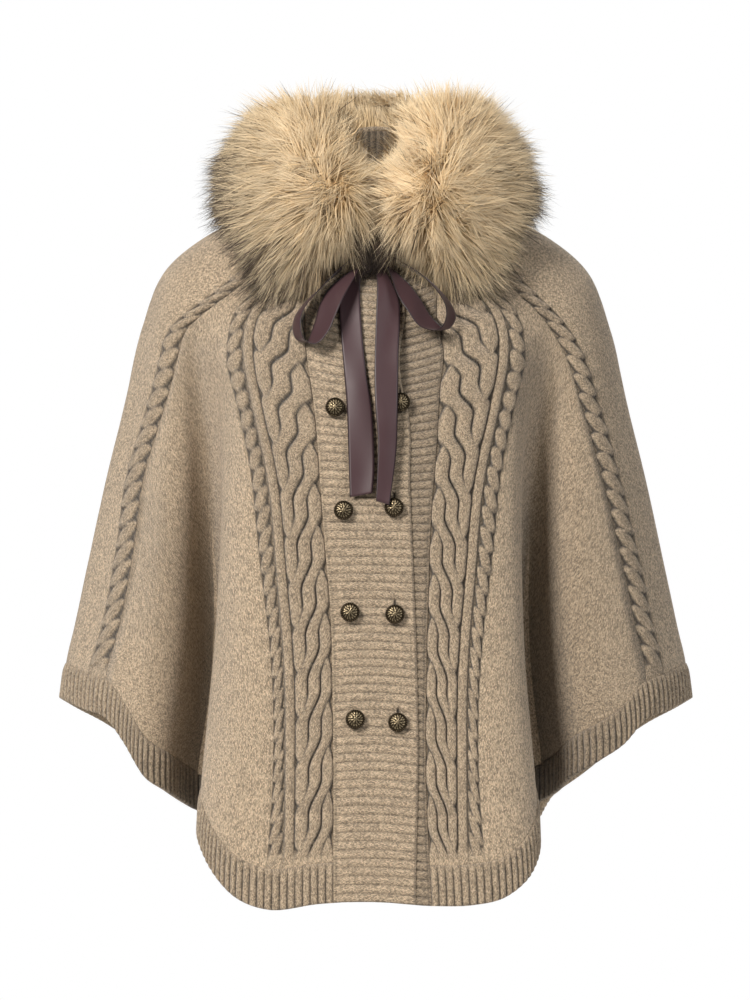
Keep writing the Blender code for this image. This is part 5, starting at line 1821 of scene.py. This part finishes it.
LIGHTS = (
    SoftLight("key light", (-2.3, -3.3, 2.0), 1.5, 238.0, "#FFFBF6"),
    SoftLight("fill light", (2.9, -3.0, 1.7), 1.8, 60.0),
    SoftLight("back light", (1.6, 3.6, 1.7), 2.2, 130.0),
)


@dataclass
class Studio:
    """A pale floor, three soft lights (key, fill and back) and the camera of the photograph."""

    distance: float = 8.0
    plane_y: float = -0.1
    centre: tuple[float, float] = (-0.001, -0.317)
    frame_height: float = 1.04     # metres that the picture shows, up and down
    sensor: float = 36.0           # in millimetres
    floor_z: float = -0.91
    floor_half: float = 900.0      # in millimetres
    glow: float = 0.12             # how strongly the white surroundings light the cape
    seen: float = 1.0              # how bright they are in the picture

    def camera(self) -> None:
        """Set the camera: a long lens, level, in front of the cape."""
        lens = bpy.data.cameras.new("studio camera")
        lens.sensor_fit = "VERTICAL"
        lens.sensor_height = lens.sensor_width = self.sensor
        lens.lens = self.sensor * self.distance / self.frame_height
        camera = bpy.data.objects.new("studio_camera", lens)
        camera.location = (self.centre[0], self.plane_y - self.distance, self.centre[1])
        camera.rotation_euler = (math.radians(90), 0, 0)
        bpy.context.scene.collection.objects.link(camera)
        bpy.context.scene.camera = camera

    def light_up(self, soft: SoftLight) -> None:
        """Add one light.

        Args:
            soft: the light.
        """
        light = bpy.data.lights.new(soft.name, "AREA")
        light.size, light.energy = soft.side, soft.power
        light.color = linear(soft.colour)[:3]
        lamp = bpy.data.objects.new(soft.name, light)
        lamp.location = soft.place
        lamp.rotation_euler = (Vector((0, 0, -0.3)) - lamp.location).to_track_quat("-Z", "Y").to_euler()
        bpy.context.scene.collection.objects.link(lamp)

    def surroundings(self) -> None:
        """Set the even white surroundings."""
        world = bpy.data.worlds.new("white studio")
        world.use_nodes = True
        tree = world.node_tree
        shown = add_node(tree, "ShaderNodeBackground", {"Color": (1, 1, 1, 1), "Strength": self.seen})
        light = tree.nodes["Background"]
        light.inputs["Color"].default_value = (1, 1, 1, 1)
        light.inputs["Strength"].default_value = self.glow
        path = add_node(tree, "ShaderNodeLightPath").outputs["Is Camera Ray"]
        mix = add_node(tree, "ShaderNodeMixShader", {0: path, 1: light.outputs[0], 2: shown.outputs[0]})
        tree.links.new(mix.outputs[0], tree.nodes["World Output"].inputs["Surface"])
        bpy.context.scene.world = world
        bpy.context.scene.view_settings.view_transform = "Standard"

    def floor(self, material: Material) -> None:
        """Lay the pale floor under the cape.

        Args:
            material: the floor's material.
        """
        parts = MeshParts()
        line = np.linspace(-self.floor_half, self.floor_half, 3)
        x, y = np.meshgrid(line, line)
        parts.add_grid(parts.add_points(np.stack([x, y, np.full_like(x, self.floor_z / MM)], axis=-1)), True)
        floor = parts.build("studio_floor")
        floor.data.materials.append(material)

    def build(self) -> None:
        """Set up the camera, the lights and the floor."""
        self.camera()
        self.surroundings()
        for soft in LIGHTS:
            self.light_up(soft)
        self.floor(StudioPaper().material())


# ---------------------------------------------------------------- the cape

@dataclass
class CapeJacket:
    """The whole cape, built part by part on its form."""

    form: CapeForm = field(default_factory=lambda: CapeForm(RINGS, HEM_LINE))

    def __post_init__(self) -> None:
        """Prepare the finishes and the seams."""
        self.knit = WoolKnit().material()
        self.seams = {side: Seams(self.form, side) for side in Side}

    def panels(self) -> None:
        """Build the five knitted panels and their ribbed hems."""
        plait = Cable(3, 46.0, 4.4)
        rope, raglan = Rope(21.5, 3.2), Rope(21.0, 3.8)
        for side, lines in self.seams.items():
            word = side.name.lower()
            front = [Field(lines.band, lines.plait, 54, plait), Field(lines.plait, lines.rib, 10, RoundRib()),
                     Field(lines.rib, lines.rope, 18, rope), Field(lines.rope, lines.raglan_in, 24)]
            arm = [Field(lines.raglan_in, lines.raglan_out, 20, raglan),
                   Field(lines.raglan_out, lines.back, 26)]
            KnitPanel(self.form, f"knit_front_{word}", f"front_{word}", (0.48, 0.73), front, 1.9,
                      area=0.16).build(self.knit)
            KnitPanel(self.form, f"knit_arm_{word}", f"side_{word}", (0.2, 0.62), arm, 2.1,
                      area=0.106).build(self.knit)
            HemRib(self.form, f"rib_front_{word}", f"hem_front_{word}", (0.47, 0.042), lines.band,
                   lines.raglan_in).build(self.knit)
            HemRib(self.form, f"rib_arm_{word}", f"hem_side_{word}", (0.18, 0.042), lines.raglan_in,
                   lines.back).build(self.knit)
        left, right = self.seams[Side.LEFT].back, self.seams[Side.RIGHT].back

        def far(shares: Array) -> Array:
            """Return the right back seam's turns, counted on past the centre back."""
            return 360.0 + right(shares)

        KnitPanel(self.form, "knit_back", "back", (0.85, 0.75), [Field(left, far, 130)], 5.0,
                  area=0.335, inner_step=2).build(self.knit)
        HemRib(self.form, "rib_back", "hem_back", (0.82, 0.042), left, far).build(self.knit)

    def bands(self) -> None:
        """Build the two button bands."""
        upper_edge = self.form.seam(UPPER_BAND_EDGE, 1, 6, (0, 36), shares_from=0.05)
        hidden_edge = self.form.seam(BAND_SEAM_RIGHT, -1, 28, (0, 36), -16.0)
        ButtonBand(self.form, "rib_band_upper", "band_upper", (0.09, 0.72), self.seams[Side.RIGHT].band,
                   upper_edge, 4.2, buttonholes=[(place.x, place.z) for place in BUTTONS
                                                 if place.side is Side.LEFT]).build(self.knit)
        ButtonBand(self.form, "rib_band_under", "band_under", (0.1, 0.72), hidden_edge,
                   self.seams[Side.LEFT].band, 0.0, free_at_end=False, shade=0.3).build(self.knit)

    def fur(self, collar: StandCollar) -> None:
        """Build the fur collar.

        Args:
            collar: the stand collar that the fur surrounds.
        """
        fur = FurCollar(self.form, collar)
        grid = fur.ground()
        fur.build_ground(grid, UnderFur().material())
        fur.build_hairs(grid, fur.pile.material())

    def ribbon(self) -> None:
        """Build the tied ribbon."""
        satin = SatinWeave().material()
        for part, places, length in (("tail_right", TAIL_RIGHT, 240.0), ("tail_left", TAIL_LEFT, 250.0),
                                     ("loop_right", LOOP_RIGHT, 220.0), ("loop_left", LOOP_LEFT, 200.0)):
            RibbonStrip(self.form, f"satin_{part}", places, f"ribbon_{part}", length).build(satin)
        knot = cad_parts["ribbon_knot"]
        for slot in knot.material_slots:
            slot.material = satin

    def buttons(self) -> None:
        """Build the eight buttons."""
        brass, button = AntiqueBrass().material(), DomedButton(self.form)
        for place in BUTTONS:
            button.build(place, brass)


def main() -> None:
    logging.basicConfig(level=logging.INFO, format="%(message)s")
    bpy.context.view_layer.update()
    Studio().build()
    cape = CapeJacket()
    cape.panels()
    cape.bands()
    collar = StandCollar()
    collar.build(cape.knit)
    cape.fur(collar)
    cape.ribbon()
    cape.buttons()


if __name__ == "__main__":
    main()
